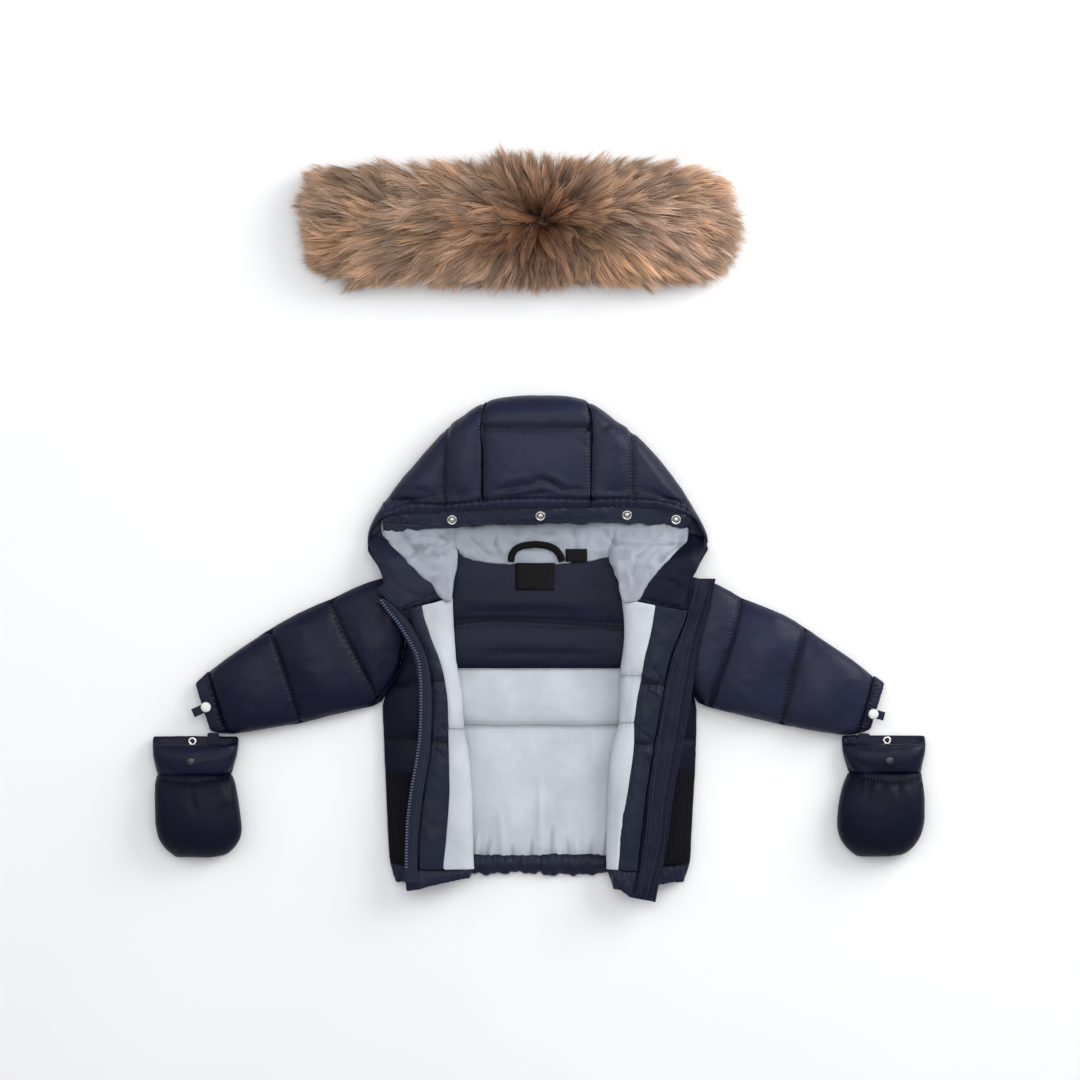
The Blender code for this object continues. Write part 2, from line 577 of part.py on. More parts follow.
def make_pocket(side, tab, out):
    """Ribbed pocket cloth on the front's lower layer, made from that layer's own points."""
    outer, inner = [], []
    for row in front_rows(tab, [m for m in FRONT_MARKS if m >= POCKET_MARK]):
        shell, _ = front_section(row, out, FRONT_QUILTS)
        edge, step = np.array(shell[0]), np.array(shell[1]) - np.array(shell[0])
        first = tuple(edge + step * (POCKET_INSET / max(1.0, abs(step[0]))))
        line = [first] + shell[1:POCKET_ACROSS]
        inner.append([(x, y, z + LAY_GAP) for x, y, z in line])
        outer.append([(x, y, z + LAY_GAP + RIB_CLOTH) for x, y, z in line])
    wall("pocket_" + side, "rib_black", outer, inner)


# ---------------------------------------------------------------- sleeves, cuffs, mittens
def tube_ring(plan, height, count, inset=None, slit=SLEEVE_SLIT, wave=0.0, mouth=None):
    """A flattened tube's cut: domed above, flat where it rests. plan(part) gives x, y across the tube."""
    ring = []
    seat = SEAT * height
    for k in range(count):
        turn = 2 * math.pi * k / count
        part = 0.5 - 0.5 * math.cos(turn)
        rise = math.sin(turn)
        if inset is not None:
            x, y = plan(inset + (1 - 2 * inset) * part)
            z = seat + (slit / 2) * (1 if rise > 0.01 else -1 if rise < -0.01 else 0)
        else:
            x, y = plan(part)
            if rise >= 0:
                z = seat + (height - seat) * rise ** 0.7
            else:
                z = max(0.0, seat - 1.35 * seat * abs(rise) ** 0.75)
        crest = wave * (1 if k % 2 else -1) * (1 if z > 1.0 else 0)
        ring.append((x, y, max(z + crest, 0.0)))
    return ring


def straight(row):
    a = (row["top_x"], row["top_y"])
    b = (row["low_x"], row["low_y"])
    return lambda part: (a[0] + (b[0] - a[0]) * part, a[1] + (b[1] - a[1]) * part)


def armhole(sign, gap):
    def plan(part):
        return (sign * (float(np.interp(part, ARMHOLE["part"], ARMHOLE["x"])) + gap), float(np.interp(part, ARMHOLE["part"], ARMHOLE["y"])))
    return plan


def between(near, far, part_way):
    """A cut lying part of the way from one line across the tube to another."""
    return lambda part: tuple(np.array(near(part)) * (1 - part_way) + np.array(far(part)) * part_way)


def make_sleeve(name, tab, sign):
    marks = [0, 0.5, 1, 1.6, 2, 2.6, 4, 5.4, 6, 6.6, 8, 9.2, 10]
    outer, inner = [], []
    for row in front_rows(tab, marks):
        plan = straight(row)
        if row["row"] < 1:
            plan = between(armhole(sign, ARMHOLE_GAP), plan, row["row"])
        outer.append(tube_ring(plan, row["height"], SLEEVE_SIDES))
        inner.append(tube_ring(plan, row["height"], SLEEVE_SIDES, inset=SLEEVE_INSET))
    wall(name, "shell_navy", outer, inner, wrap=True)


def make_cuff(name, tab):
    outer, inner = [], []
    for row, ridge in zip(front_rows(tab, [0, 1, 2]), (0.2, 0.5, 0.2)):
        plan = straight(row)
        outer.append(tube_ring(plan, row["height"], CUFF_SIDES, wave=ridge))
        inner.append(tube_ring(plan, row["height"], CUFF_SIDES, inset=CUFF_INSET))
    wall(name, "shell_navy", outer, inner, wrap=True)


def mitten_ring(row, count, inset=None, wave=0.0, step=0.0):
    plan = lambda part: (row["left_x"] + (row["right_x"] - row["left_x"]) * part, row["y"])
    ring = tube_ring(plan, row["height"], count, inset=inset, wave=wave)
    if step:
        seat = SEAT * row["height"]
        ring = [(x, y + (step if z <= seat + 0.01 else 0.0), z) for x, y, z in ring]
    return ring


def make_mitten(side, band, body):
    rows = [{k: float(v[i]) for k, v in band.items()} for i in range(len(band["y"]))]
    # the palm side stands higher than the front of the mouth
    count = MITTEN_SIDES
    outer = [mitten_ring(rows[0], count, step=MOUTH_STEP)] + [mitten_ring(r, count) for r in rows[1:]]
    inner = [mitten_ring(rows[0], count, inset=BAND_INSET, step=MOUTH_STEP)]
    inner += [mitten_ring(r, count, inset=BAND_INSET) for r in rows[1:]]
    wall("mitten_band_" + side, "shell_navy", outer, inner, wrap=True)
    rows = [{k: float(v[i]) for k, v in body.items()} for i in range(len(body["y"]))]
    outer = [mitten_ring(r, count, wave=0.7 if i in (0, 1) else 0.0) for i, r in enumerate(rows)]
    inner = [mitten_ring(r, count, inset=SLEEVE_INSET) for r in rows[:-1]]
    pouch("mitten_" + side, "shell_navy", outer, inner)


def band_z(band, x, y):
    """Height of a mitten band's face at a place on it."""
    height = float(np.interp(-y, -band["y"], band["height"]))
    left = float(np.interp(-y, -band["y"], band["left_x"]))
    right = float(np.interp(-y, -band["y"], band["right_x"]))
    part = (x - left) / (right - left)
    rise = math.sqrt(max(0.0, 1 - (1 - 2 * part) ** 2))
    seat = SEAT * height
    return seat + (height - seat) * rise ** 0.7


# ---------------------------------------------------------------- hood
def hood_height(x):
    return max(12.0, HOOD_HEIGHT * math.sqrt(max(0.0, 1 - (x / HOOD_HALF) ** 2)))


def hood_lift(x, y):
    """How far the hood's lower layer rides above the surface, over the shoulders and the lapels."""
    down = float(ease((-y - 16.0) / 30.0))
    side = float(ease((abs(x) - (85.0 if x < 0 else 74.0)) / 12.0))
    return COLLAR_LIFT * down * side


def hood_puff(x, y):
    """Rise of the hood's outside between its seams and quilting lines."""
    if HOOD_SEAMS[0] <= x <= HOOD_SEAMS[1]:
        across = puff(x, HOOD_SEAMS, 0.4)
        along = puff(y, (CASING_LINE, CENTRE_LINE, 150.0), 0.5)
        return HOOD_PUFF * across * (0.25 + 0.75 * along)
    if x < 0:
        across = puff(x, (-200.0, HOOD_LINES[0], HOOD_SEAMS[0]), 0.5)
    else:
        across = puff(x, (HOOD_SEAMS[1], HOOD_LINES[1], 200.0), 0.5)
    return HOOD_PUFF * 0.8 * across * (0.3 + 0.7 * float(ease((y - CASING_LINE) / 14.0)))


LOW_STOPS = (-100.0, -52.0, -42.0, -35.0, -28.0, -18.0, 2.0, 200.0)     # closer where the layer climbs
FOLD_STEPS = 4
TOP_STEPS = 4


def hood_section(x):
    row = {k: float(np.interp(x, HOOD["x"], HOOD[k])) for k in HOOD}
    tall = hood_height(x)
    crown, face, low = row["crown"], row["face"], row["low"]
    thick = HOOD_WALL if tall > 22 else 3.0
    deep = crown - face
    fold = min(HOOD_FOLD, thick + 1.5 + 0.42 * max(0.0, deep - 10))
    outer, inner = [], []
    start = crown - fold
    last = len(LOW_STOPS) - 1
    for k, stop in enumerate(LOW_STOPS):
        y = min(max(stop, low + 1.2 * k), start - 0.8 * (last - k))
        lift = hood_lift(x, y)
        outer.append((x, y, lift))
        inner.append((x, y, lift + thick))
    for k in range(1, FOLD_STEPS):
        a = -math.pi / 2 + math.pi * k / FOLD_STEPS
        outer.append((x, start + fold * math.cos(a), tall / 2 + tall / 2 * math.sin(a)))
        inner.append((x, start + (fold - thick) * math.cos(a), tall / 2 + (tall / 2 - thick) * math.sin(a)))
    casing = min(CASING, 0.5 * max(1.0, start - face))
    stops = []
    run = start - (face + casing)
    for k in range(TOP_STEPS + 1):
        stops.append(start - run * k / TOP_STEPS)
    if HOOD_SEAMS[0] <= x <= HOOD_SEAMS[1]:
        near = min(range(1, TOP_STEPS), key=lambda k: abs(stops[k] - CENTRE_LINE))
        stops[near] = CENTRE_LINE
    for k, y in enumerate(stops):
        rise = hood_puff(x, y) * (0.6 if k == 0 else 1.0) * (0.0 if k == TOP_STEPS else 1.0) * min(1.0, deep / 60.0)
        outer.append((x, y, tall + rise))
        inner.append((x, y, tall - thick))
    for part, rise in ((0.3, 3.6), (0.7, 3.4), (1.0, -0.8)):
        y = face + casing * (1 - part)
        outer.append((x, y, tall + rise * min(1.0, deep / 40.0)))
        inner.append((x, y, tall - thick + (0.6 if part == 1.0 else 0.0)))
    return outer, inner


HOOD_STATIONS = (
    [-189, -186.5, -180, -172.5, -168, -159, -145, -129, -105, -98, -92, -89, -78],
    [-45, -22, 0, 22, 42],
    [77, 82, 87, 92, 103, 127, 143, 158, 161.5, 164.5, 168.5, 174, 181, 184.5],
)
ALL_STATIONS = HOOD_STATIONS[0] + [HOOD_SEAMS[0]] + HOOD_STATIONS[1] + [HOOD_SEAMS[1]] + HOOD_STATIONS[2]


def make_hood():
    half_gap = SEAM_GAP / 2
    panels = {
        "hood_side_left": HOOD_STATIONS[0] + [HOOD_SEAMS[0] - half_gap],
        "hood_centre": [HOOD_SEAMS[0] + half_gap] + HOOD_STATIONS[1] + [HOOD_SEAMS[1] - half_gap],
        "hood_side_right": [HOOD_SEAMS[1] + half_gap] + HOOD_STATIONS[2],
    }
    for name, marks in panels.items():
        outer, inner = [], []
        for x in marks:
            a, b = hood_section(float(x))
            outer.append(a)
            inner.append(b)
        wall(name, "shell_navy", outer, inner)


def floor_at(station, y):
    _, inner = hood_section(float(station))
    low = inner[:len(LOW_STOPS)]
    return float(np.interp(y, [p[1] for p in low], [p[2] for p in low]))


def hood_floor(x, y):
    """Inside face of the hood's lower layer, read between its neighbouring sections."""
    x = min(max(x, ALL_STATIONS[0]), ALL_STATIONS[-1])
    for a, b in zip(ALL_STATIONS, ALL_STATIONS[1:]):
        if a <= x <= b:
            part = (x - a) / (b - a)
            return floor_at(a, y) * (1 - part) + floor_at(b, y) * part
    return HOOD_WALL


def make_hood_linings():
    pieces = {
        "hood_lining_left": [-171.5, -168, -159, -145, -136, -129, -117, -110.2, -105, -98, -92.3],
        "hood_lining_back": [-89, -78, -62.5, -45, -22, 0, 22, 42, 56.5, 76.7],
        "hood_lining_right": [77.3, 82, 87, 92, 98, 103, 107.5, 116, 127, 132, 137, 143, 158, 161.5],
    }
    last = len(LOW_STOPS) - 1
    for name, marks in pieces.items():
        outer, inner = [], []
        for x in marks:
            low = float(np.interp(x, HOOD_LINING["x"], HOOD_LINING["low"]))
            crown = float(np.interp(x, HOOD["x"], HOOD["crown"]))
            high = max(min(24.0, crown - 20.0), low + 1.1 * last)
            top, under = [], []
            for k, stop in enumerate(LOW_STOPS):
                y = min(max(stop, low + 1.0 * k), high - 1.0 * (last - k))
                z = hood_floor(x, y) + (LAY_GAP if name == "hood_lining_back" else 1.4)
                fold = 0.8 + 0.8 * math.sin(x / 9.0 + y / 17.0)
                inside = math.sin(math.pi * k / last)
                under.append((x, y, z))
                top.append((x, y, z + LINING + fold * inside))
            outer.append(top)
            inner.append(under)
        wall(name, "lining_blue", outer, inner)


def facing_at(x, part):
    """Face of the rim facing, part of the way from under the rim to its free edge."""
    face = float(np.interp(x, HOOD["x"], HOOD["face"]))
    tall = hood_height(x)
    thick = HOOD_WALL if tall > 22 else 3.0
    room = tall - thick - hood_floor(x, face - 15.0) - 7.0
    drop = max(1.0, min(15.0, room))
    down = float(np.interp(part, (0.0, 0.35, 0.7, 1.0), (0.0, 0.10, 0.45, 1.0)))
    return face + 5.0 - part * 21.0, tall - thick - 1.0 - drop * down


def make_rim_facing():
    """Plain facing turned in along the face edge, with the snap row for the ruff."""
    marks = [-163, -150, -135, -115, -95, -70, -45, -22, 0, 22, 45, 70, 95, 115, 135, 148, 158]
    outer, inner = [], []
    for x in marks:
        top, low = [], []
        for part in (0.0, 0.35, 0.7, 1.0):
            y, z = facing_at(x, part)
            top.append((x, y, z))
            low.append((x, y - 0.6 * part, z - 1.4))
        outer.append(top)
        inner.append(low)
    wall("hood_rim_facing", "inner_navy", outer, inner)


def make_collar_facing(name, tab):
    outer, inner = [], []
    reach = 3.5
    for row in front_rows(tab, [0, 0.5, 1, 1.5, 2, 2.5, 3, 3.5, 4, 5, 6, 7, 8]):
        top, low = [], []
        for k in range(6):
            part = k / 5
            x = row["out_x"] + (row["in_x"] - row["out_x"]) * part
            y = row["out_y"] + (row["in_y"] - row["out_y"]) * part
            under = max(hood_floor(x + dx, y + dy) for dx, dy in ((0, 0), (reach, 0), (-reach, 0), (0, reach), (0, -reach)))
            z = under + 1.0 + 1.0 * float(ease((-60 - y) / 10.0))
            low.append((x, y, z))
            top.append((x, y, z + 1.6 + 1.2 * math.sin(math.pi * part)))
        outer.append(top)
        inner.append(low)
    wall(name, "inner_navy", outer, inner)


# ---------------------------------------------------------------- labels, loop, snaps, tabs, fur
def slab(name, colour, centre, size, thick, rise=0.0, turn=0.0, steps=4):
    """A small flat piece of cloth, its middle raised a little."""
    outer, inner = [], []
    cx, cy, z0 = centre
    c, s = math.cos(turn), math.sin(turn)
    for i in range(steps + 1):
        u = -0.5 + i / steps
        top, low = [], []
        for j in range(steps + 1):
            v = -0.5 + j / steps
            x = u * size[0]
            y = v * size[1]
            crown = math.cos(math.pi * u) * math.cos(math.pi * v)
            top.append((cx + x * c - y * s, cy + x * s + y * c, z0 + thick + rise * crown))
            low.append((cx + x * c - y * s, cy + x * s + y * c, z0))
        outer.append(top)
        inner.append(low)
    return wall(name, colour, outer, inner)


def make_labels():
    top = BACK_SHELL + LAY_GAP + LINING + LINING_PUFF
    slab("neck_label", "label_black", (-5.0, -60.2, top + 0.4), (42.8, 30.0), 1.0, steps=1)
    slab("size_label", "label_black", (40.5, -36.6, LOOP_Z), (23.6, 14.0), 0.8, steps=1)
    # hang loop: a flat band bent to an arch, its ends sewn in at the neck seam
    arch = table("part x y", [
        (0, -31.2, -43.0), (1, -30.5, -36.0), (2, -26.0, -29.4), (3, -17.5, -25.9), (4, -3.9, -24.6), (5, 9.8, -26.4),
        (6, 17.6, -30.2), (7, 22.4, -36.4), (8, 24.2, -42.4)])
    marks = np.linspace(0, 8, 17)
    xs = np.interp(marks, arch["part"], arch["x"])
    ys = np.interp(marks, arch["part"], arch["y"])
    rings = []
    for i in range(len(marks)):
        a, b = max(0, i - 1), min(len(marks) - 1, i + 1)
        along = np.array((xs[b] - xs[a], ys[b] - ys[a]))
        along = along / np.linalg.norm(along)
        side = np.array((-along[1], along[0])) * LOOP_WIDTH / 2
        left, right = (xs[i] + side[0], ys[i] + side[1]), (xs[i] - side[0], ys[i] - side[1])
        rings.append([(*left, LOOP_Z), (*left, LOOP_Z + LOOP_THICK), (*right, LOOP_Z + LOOP_THICK), (*right, LOOP_Z)])
    solid("hang_loop", "label_black", rings)


def make_snaps():
    for i, x in enumerate((-96.0, 1.0, 96.0, 150.0)):
        y0, z0 = facing_at(x, 0.35)
        y1, z1 = facing_at(x, 0.75)
        tilt = math.atan2(z0 - z1, y0 - y1)
        y, z = facing_at(x, 0.58)
        disc("hood_snap_%d" % (i + 1), "snap_metal", (x, y - 0.9 * math.sin(tilt), z + 0.9 * math.cos(tilt)), SNAP_R, 2.0, rim=0.6, tilt=tilt)


def make_cuff_trims():
    # press caps on the cuffs, each holding a short tab folded round the cuff's edge
    disc("cuff_snap_left", "snap_white", (-366.5, -203.5, TAB_Z + 1.5), SNAP_R, 2.6, rim=0.9)
    disc("cuff_snap_right", "snap_white", (366.8, -211.0, TAB_Z + 1.5), SNAP_R, 2.6, rim=0.9)
    slab("cuff_tab_left", "tape_navy", (-371.5, -206.0, TAB_Z), (20.0, 9.5), TAPE_CLOTH, turn=math.radians(24), steps=1)
    slab("cuff_tab_right", "tape_navy", (370.5, -211.5, TAB_Z), (17.0, 9.5), TAPE_CLOTH, turn=math.radians(-14), steps=1)
    slab("mitten_tether_left", "tape_navy", (-359.0, -241.4, 10.1), (13.0, 19.2), 1.0, steps=1)
    slab("mitten_tether_right", "tape_navy", (357.0, -241.5, 10.1), (13.0, 18.0), 1.0, steps=1)
    for side, x, y_cap, y_ring, band in (("left", -382.5, -263.0, -241.5, BAND_LEFT), ("right", 384.0, -262.0, -240.5, BAND_RIGHT)):
        disc("mitten_cap_" + side, "snap_navy", (x, y_cap, band_z(band, x, y_cap) + 0.3), 4.4, 1.6, rim=0.5)
        disc("mitten_socket_" + side, "snap_metal", (x + (0.5 if side == "left" else -1.5), y_ring, 9.6), 4.8, 1.2, rim=0.4, sides=14)


def make_fur():
    """The ruff: a rounded pelt reaching as far as its hair, flat where it lies, on a strip of tape."""
    marks = FUR["x"]
    count = 14
    rings = []
    for i, x in enumerate(marks):
        high, low = float(FUR["high"][i]), float(FUR["low"][i])
        width = high - low
        tall = FUR_HEIGHT * min(1.0, (width / 110.0)) * (0.94 + 0.06 * math.sin(i * 1.7))
        ring = []
        for k in range(count):
            turn = 2 * math.pi * k / count
            part = 0.5 - 0.5 * math.cos(turn)
            rise = math.sin(turn)
            y = low + width * part
            z = 0.25 * tall + 0.75 * tall * rise ** 0.8 if rise >= 0 else max(1.2, 0.25 * tall - 0.5 * tall * abs(rise) ** 0.7)
            ring.append((float(x), y, z))
        rings.append(ring)
    solid("fur_trim", "fur_brown", rings)
    slab("fur_tape", "tape_navy", (-20.0, 330.0, 0.0), (440.0, 30.0), 0.8, steps=1)


make_back()
make_back_linings()
make_hem_back()
for side, tab, hem, out, tape in (("left", FRONT_LEFT, HEM_LEFT, -1, 16.0), ("right", FRONT_RIGHT, HEM_RIGHT, 1, 0.6)):
    make_front("front_" + side, tab, out)
    make_front_hem("hem_front_" + side, hem, out)
    make_lapel_cloth(side, tab, out, tape)
    make_pocket(side, tab, out)
make_zip_left()
make_flap()
make_sleeve("sleeve_left", SLEEVE_LEFT, -1)
make_sleeve("sleeve_right", SLEEVE_RIGHT, 1)
make_cuff("cuff_left", CUFF_LEFT)
make_cuff("cuff_right", CUFF_RIGHT)
make_mitten("left", BAND_LEFT, MITTEN_LEFT)
make_mitten("right", BAND_RIGHT, MITTEN_RIGHT)
make_hood()
make_hood_linings()
make_rim_facing()
make_collar_facing("collar_facing_left", COLLAR_LEFT)
make_collar_facing("collar_facing_right", COLLAR_RIGHT)
make_labels()
make_snaps()
make_cuff_trims()
make_fur()
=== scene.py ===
# %% [markdown]
# # A toddler's down jacket, laid out flat
# The jacket lies open on its back with both fronts folded over like lapels. Its mittens hang from the
# cuffs, and the fur ruff is unbuttoned and lies above the hood. The solids come in as a frame, and
# every piece of cloth is made again on top of its solid, finer and softer, so that it can show puffs,
# gathers and stitching.

import json
import math

import bmesh
import bpy
import numpy as np
from mathutils import Matrix, Vector
from mathutils.bvhtree import BVHTree
from mathutils.kdtree import KDTree

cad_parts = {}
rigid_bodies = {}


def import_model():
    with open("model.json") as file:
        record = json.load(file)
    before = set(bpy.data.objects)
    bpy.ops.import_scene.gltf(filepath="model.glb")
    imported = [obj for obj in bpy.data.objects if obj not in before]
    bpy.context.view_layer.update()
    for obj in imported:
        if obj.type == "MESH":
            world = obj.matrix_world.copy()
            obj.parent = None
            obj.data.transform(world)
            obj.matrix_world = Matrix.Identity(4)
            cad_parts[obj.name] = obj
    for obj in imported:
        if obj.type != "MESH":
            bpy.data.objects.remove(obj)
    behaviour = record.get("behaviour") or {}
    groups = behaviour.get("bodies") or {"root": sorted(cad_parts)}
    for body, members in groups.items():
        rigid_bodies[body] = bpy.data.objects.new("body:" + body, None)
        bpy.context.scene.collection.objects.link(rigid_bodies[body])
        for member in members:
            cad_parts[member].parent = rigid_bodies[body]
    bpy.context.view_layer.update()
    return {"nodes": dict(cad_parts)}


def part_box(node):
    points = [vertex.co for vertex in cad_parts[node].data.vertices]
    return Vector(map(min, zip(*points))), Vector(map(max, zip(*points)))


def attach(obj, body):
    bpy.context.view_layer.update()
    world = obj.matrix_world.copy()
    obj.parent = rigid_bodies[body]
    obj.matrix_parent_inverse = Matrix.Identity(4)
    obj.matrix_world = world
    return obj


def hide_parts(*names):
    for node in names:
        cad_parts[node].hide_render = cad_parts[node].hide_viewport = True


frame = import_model()
NODES = frame["nodes"]
MM = 0.001
print("solids:", len(NODES))


# %% [markdown]
# ## Measuring in the picture
# The camera looks straight down, so one pixel of the photograph is the same length everywhere: 1.1 mm.
# Seams could be placed from the solids' corners alone, but a crease shows only in the picture. So each
# is written down as pixels where it is seen, and this helper turns them into millimetres on the
# surface.

# %% Pixels to millimetres
PIXEL = 1.1
MIDDLE_U = 539.5
MIDDLE_V = 522.0


def line(*spots):
    """A drawn line: pixel positions turned into millimetres across and up."""
    return np.array([((u - MIDDLE_U) * PIXEL, (MIDDLE_V - v) * PIXEL) for u, v in spots])


def level(y, left, right):
    """A straight line across at one height, in millimetres."""
    return np.array([(left, y), ((left + right) / 2, y), (right, y)], float)


print("middle of the picture:", line((540, 540))[0])


# %% [markdown]
# ## A camera and a studio
# A product photograph of clothing is taken from straight above on white. A long lens keeps the raised
# parts from leaning outwards. One big soft lamp to the right of the hood gives the folds their bright
# side, and a pale world fills the shadows.

# %% Camera
LENS_HEIGHT = 6.0
PICTURE_WIDE = 1.188
eye = bpy.data.cameras.new("straight_down")
eye.sensor_width = 36.0
eye.lens = 36.0 * (LENS_HEIGHT - 0.012) / PICTURE_WIDE
eye.clip_end = 50.0
camera = bpy.data.objects.new("straight_down", eye)
camera.location = (0.00055, -0.0198, LENS_HEIGHT)
bpy.context.scene.collection.objects.link(camera)
bpy.context.scene.camera = camera
bpy.context.scene.view_settings.view_transform = "Standard"
print("lens:", round(eye.lens, 1), "mm")


# %% Lamps and floor
def soft_lamp(name, place, aim, wide, power, colour=(1.0, 1.0, 1.0)):
    lamp = bpy.data.lights.new(name, "AREA")
    lamp.size = wide
    lamp.energy = power
    lamp.color = colour
    holder = bpy.data.objects.new(name, lamp)
    holder.location = place
    holder.rotation_euler = (Vector(aim) - Vector(place)).to_track_quat("-Z", "Y").to_euler()
    bpy.context.scene.collection.objects.link(holder)


soft_lamp("window_right", (1.5, 0.95, 1.0), (0.0, -0.05, 0.0), 1.3, 30.0, (1.0, 0.99, 0.98))
soft_lamp("fill_left", (-1.6, 0.6, 1.6), (0.0, 0.0, 0.0), 1.6, 7.0, (0.96, 0.98, 1.0))
soft_lamp("overhead", (0.0, 0.5, 2.6), (0.0, 0.0, 0.0), 1.8, 24.0)
studio = bpy.data.worlds.new("studio")
studio.use_nodes = True
studio.node_tree.nodes["Background"].inputs["Color"].default_value = (0.95, 0.97, 1.0, 1.0)
studio.node_tree.nodes["Background"].inputs["Strength"].default_value = 0.50
bpy.context.scene.world = studio


def pick(*objects):
    """Selects these objects and nothing else."""
    if bpy.context.object and bpy.context.object.mode != "OBJECT":
        bpy.ops.object.mode_set(mode="OBJECT")
    bpy.ops.object.select_all(action="DESELECT")
    for each in objects:
        each.select_set(True)
    bpy.context.view_layer.objects.active = objects[0]


bpy.ops.object.select_all(action="DESELECT")
bpy.ops.mesh.primitive_plane_add(size=6.0, location=(0, 0, -0.0004))
floor = bpy.context.object
floor.name = "floor"
print("floor laid")


# %% [markdown]
# ## Writing shaders as sums
# Every finish is a small sum of patterns. Wrapping a socket in a class lets the sum be written as plain
# Python, and one method adds any other kind of node.

# %% A socket that can be added and multiplied
class Wire:
    def __init__(self, paint, socket):
        self.paint = paint
        self.socket = socket

    def worked(self, kind, *values):
        return self.paint.node("ShaderNodeMath", {"operation": kind}, dict(enumerate(values)))

    def __add__(self, other):
        return self.worked("ADD", self, other)

    def __sub__(self, other):
        return self.worked("SUBTRACT", self, other)

    def __rsub__(self, other):
        return self.worked("SUBTRACT", other, self)

    def __mul__(self, other):
        return self.worked("MULTIPLY", self, other)

    def __truediv__(self, other):
        return self.worked("DIVIDE", self, other)

    def __rtruediv__(self, other):
        return self.worked("DIVIDE", other, self)

    __radd__ = __add__
    __rmul__ = __mul__

    def sin(self):
        return self.worked("SINE", self)

    def size(self):
        return self.worked("ABSOLUTE", self)

    def between(self, low, high):
        """0 below low, 1 above high, smooth in between."""
        ends = {"Value": self, "From Min": low, "From Max": high}
        return self.paint.node("ShaderNodeMapRange", {"interpolation_type": "SMOOTHSTEP"}, ends)


class Paint:
    """A material being put together."""

    def __init__(self, name, rough=0.5, metal=0.0, **fixed):
        self.material = bpy.data.materials.new(name)
        self.material.use_nodes = True
        self.tree = self.material.node_tree
        self.shader = self.tree.nodes["Principled BSDF"]
        self.shader.inputs["Roughness"].default_value = rough
        self.shader.inputs["Metallic"].default_value = metal
        for key, value in fixed.items():
            self.shader.inputs[key.replace("_", " ")].default_value = value

    def feed(self, slot, value):
        if isinstance(value, Wire):
            self.tree.links.new(value.socket, slot)
        elif isinstance(value, tuple) and slot.type == "RGBA":
            slot.default_value = (*value, 1.0) if len(value) == 3 else value
        else:
            slot.default_value = value

    def node(self, kind, settings=None, inputs=None, out=0):
        made = self.tree.nodes.new(kind)
        for key, value in (settings or {}).items():
            setattr(made, key, value)
        for key, value in (inputs or {}).items():
            self.feed(made.inputs[key], value)
        return Wire(self, made.outputs[out])

    def place(self):
        return self.node("ShaderNodeTexCoord", out="Object")

    def along(self, axis):
        return self.node("ShaderNodeSeparateXYZ", inputs={0: self.place()}, out="XYZ".index(axis))

    def note(self, name, out="Fac"):
        """A number, or a colour, written on the mesh's points."""
        return self.node("ShaderNodeAttribute", {"attribute_name": name}, out=out)

    def grain(self, scale, detail=2.0, rough=0.5):
        where = self.place()
        values = {"Vector": where, "Scale": scale, "Detail": detail, "Roughness": rough}
        return self.node("ShaderNodeTexNoise", inputs=values)

    def mix(self, part, one, other):
        """A colour between two others; 0, 6, 7 and 2 are the node's factor and colour sockets."""
        return self.node("ShaderNodeMix", {"data_type": "RGBA"}, {0: part, 6: one, 7: other}, out=2)

    def colour(self, value):
        self.feed(self.shader.inputs["Base Color"], value)

    def rough(self, value):
        self.feed(self.shader.inputs["Roughness"], value)

    def relief(self, height, strength=1.0):
        """Fine relief: a height in metres."""
        bump = self.node("ShaderNodeBump", inputs={"Height": height, "Strength": strength, "Distance": 1.0})
        self.feed(self.shader.inputs["Normal"], bump)


def shade(colour, times):
    return tuple(c * times for c in colour)


print("shader words ready")

# %% [markdown]
# ## Down-proof nylon
# The shell is a tightly woven navy nylon: dark, with a soft silky sheen. Close to every seam the cloth
# is drawn up in short puckers that run straight out from the stitching and fade within a centimetre or
# two. A pattern laid on straight would run across the seams. So the mesh carries, for each point, how
# far the nearest seam is and how far along that seam it lies, and the puckers follow the seam wherever
# it runs.

# %% Nylon and lining
TURN = 2 * math.pi


def cloth(name, colour, rough, pitch=3.8, pucker=0.14, crinkle=0.22, seam_dark=0.45, hollow_shade=0.5, **fixed):
    """Woven cloth with gathers beside its seams and painted shade in its hollows; sizes in millimetres."""
    paint = Paint(name, rough, **fixed)
    near = paint.note("seam_near") * 1000.0
    side = paint.note("seam_side") * 1000.0
    run = paint.note("seam_along") * 1000.0
    broad = paint.grain(22.0, 3.0)
    wander = paint.grain(70.0, 1.0)
    slow = ((run / pitch + wander * 1.3) * TURN).sin()
    beat = slow + ((run / (pitch * 0.62) + broad * 3.0) * TURN).sin() * 0.6
    fade = near.between(0.2, 1.5) * (1.0 - near.between(2.0, 8.0)) * paint.note("seam_pull")
    folds = beat * fade * (pucker * MM)
    crease = paint.grain(55.0, 4.0, 0.55) * (crinkle * MM) * 2.0
    thread = paint.grain(1400.0, 1.0) * (0.02 * MM)
    stitch = (1.0 - side.size().between(0.35, 1.0)) * (1.0 - near.between(2.0, 4.0))
    stitch = stitch * paint.note("seam_pull").between(0.05, 0.3)
    paint.relief(folds + crease + thread - stitch * (0.5 * MM))
    tone = paint.mix(broad.between(0.3, 0.7), shade(colour, 0.92), shade(colour, 1.08))
    # Painted shade: the cloth's colour is darkened where drape pushed it in, in the troughs of seams and
    # creases.
    tone = paint.mix(paint.note("hollow_shade") * hollow_shade, tone, shade(colour, 0.3))
    paint.colour(paint.mix(stitch * seam_dark, tone, shade(colour, 0.25)))
    paint.rough(rough + (broad - 0.5) * 0.10)
    return paint.material


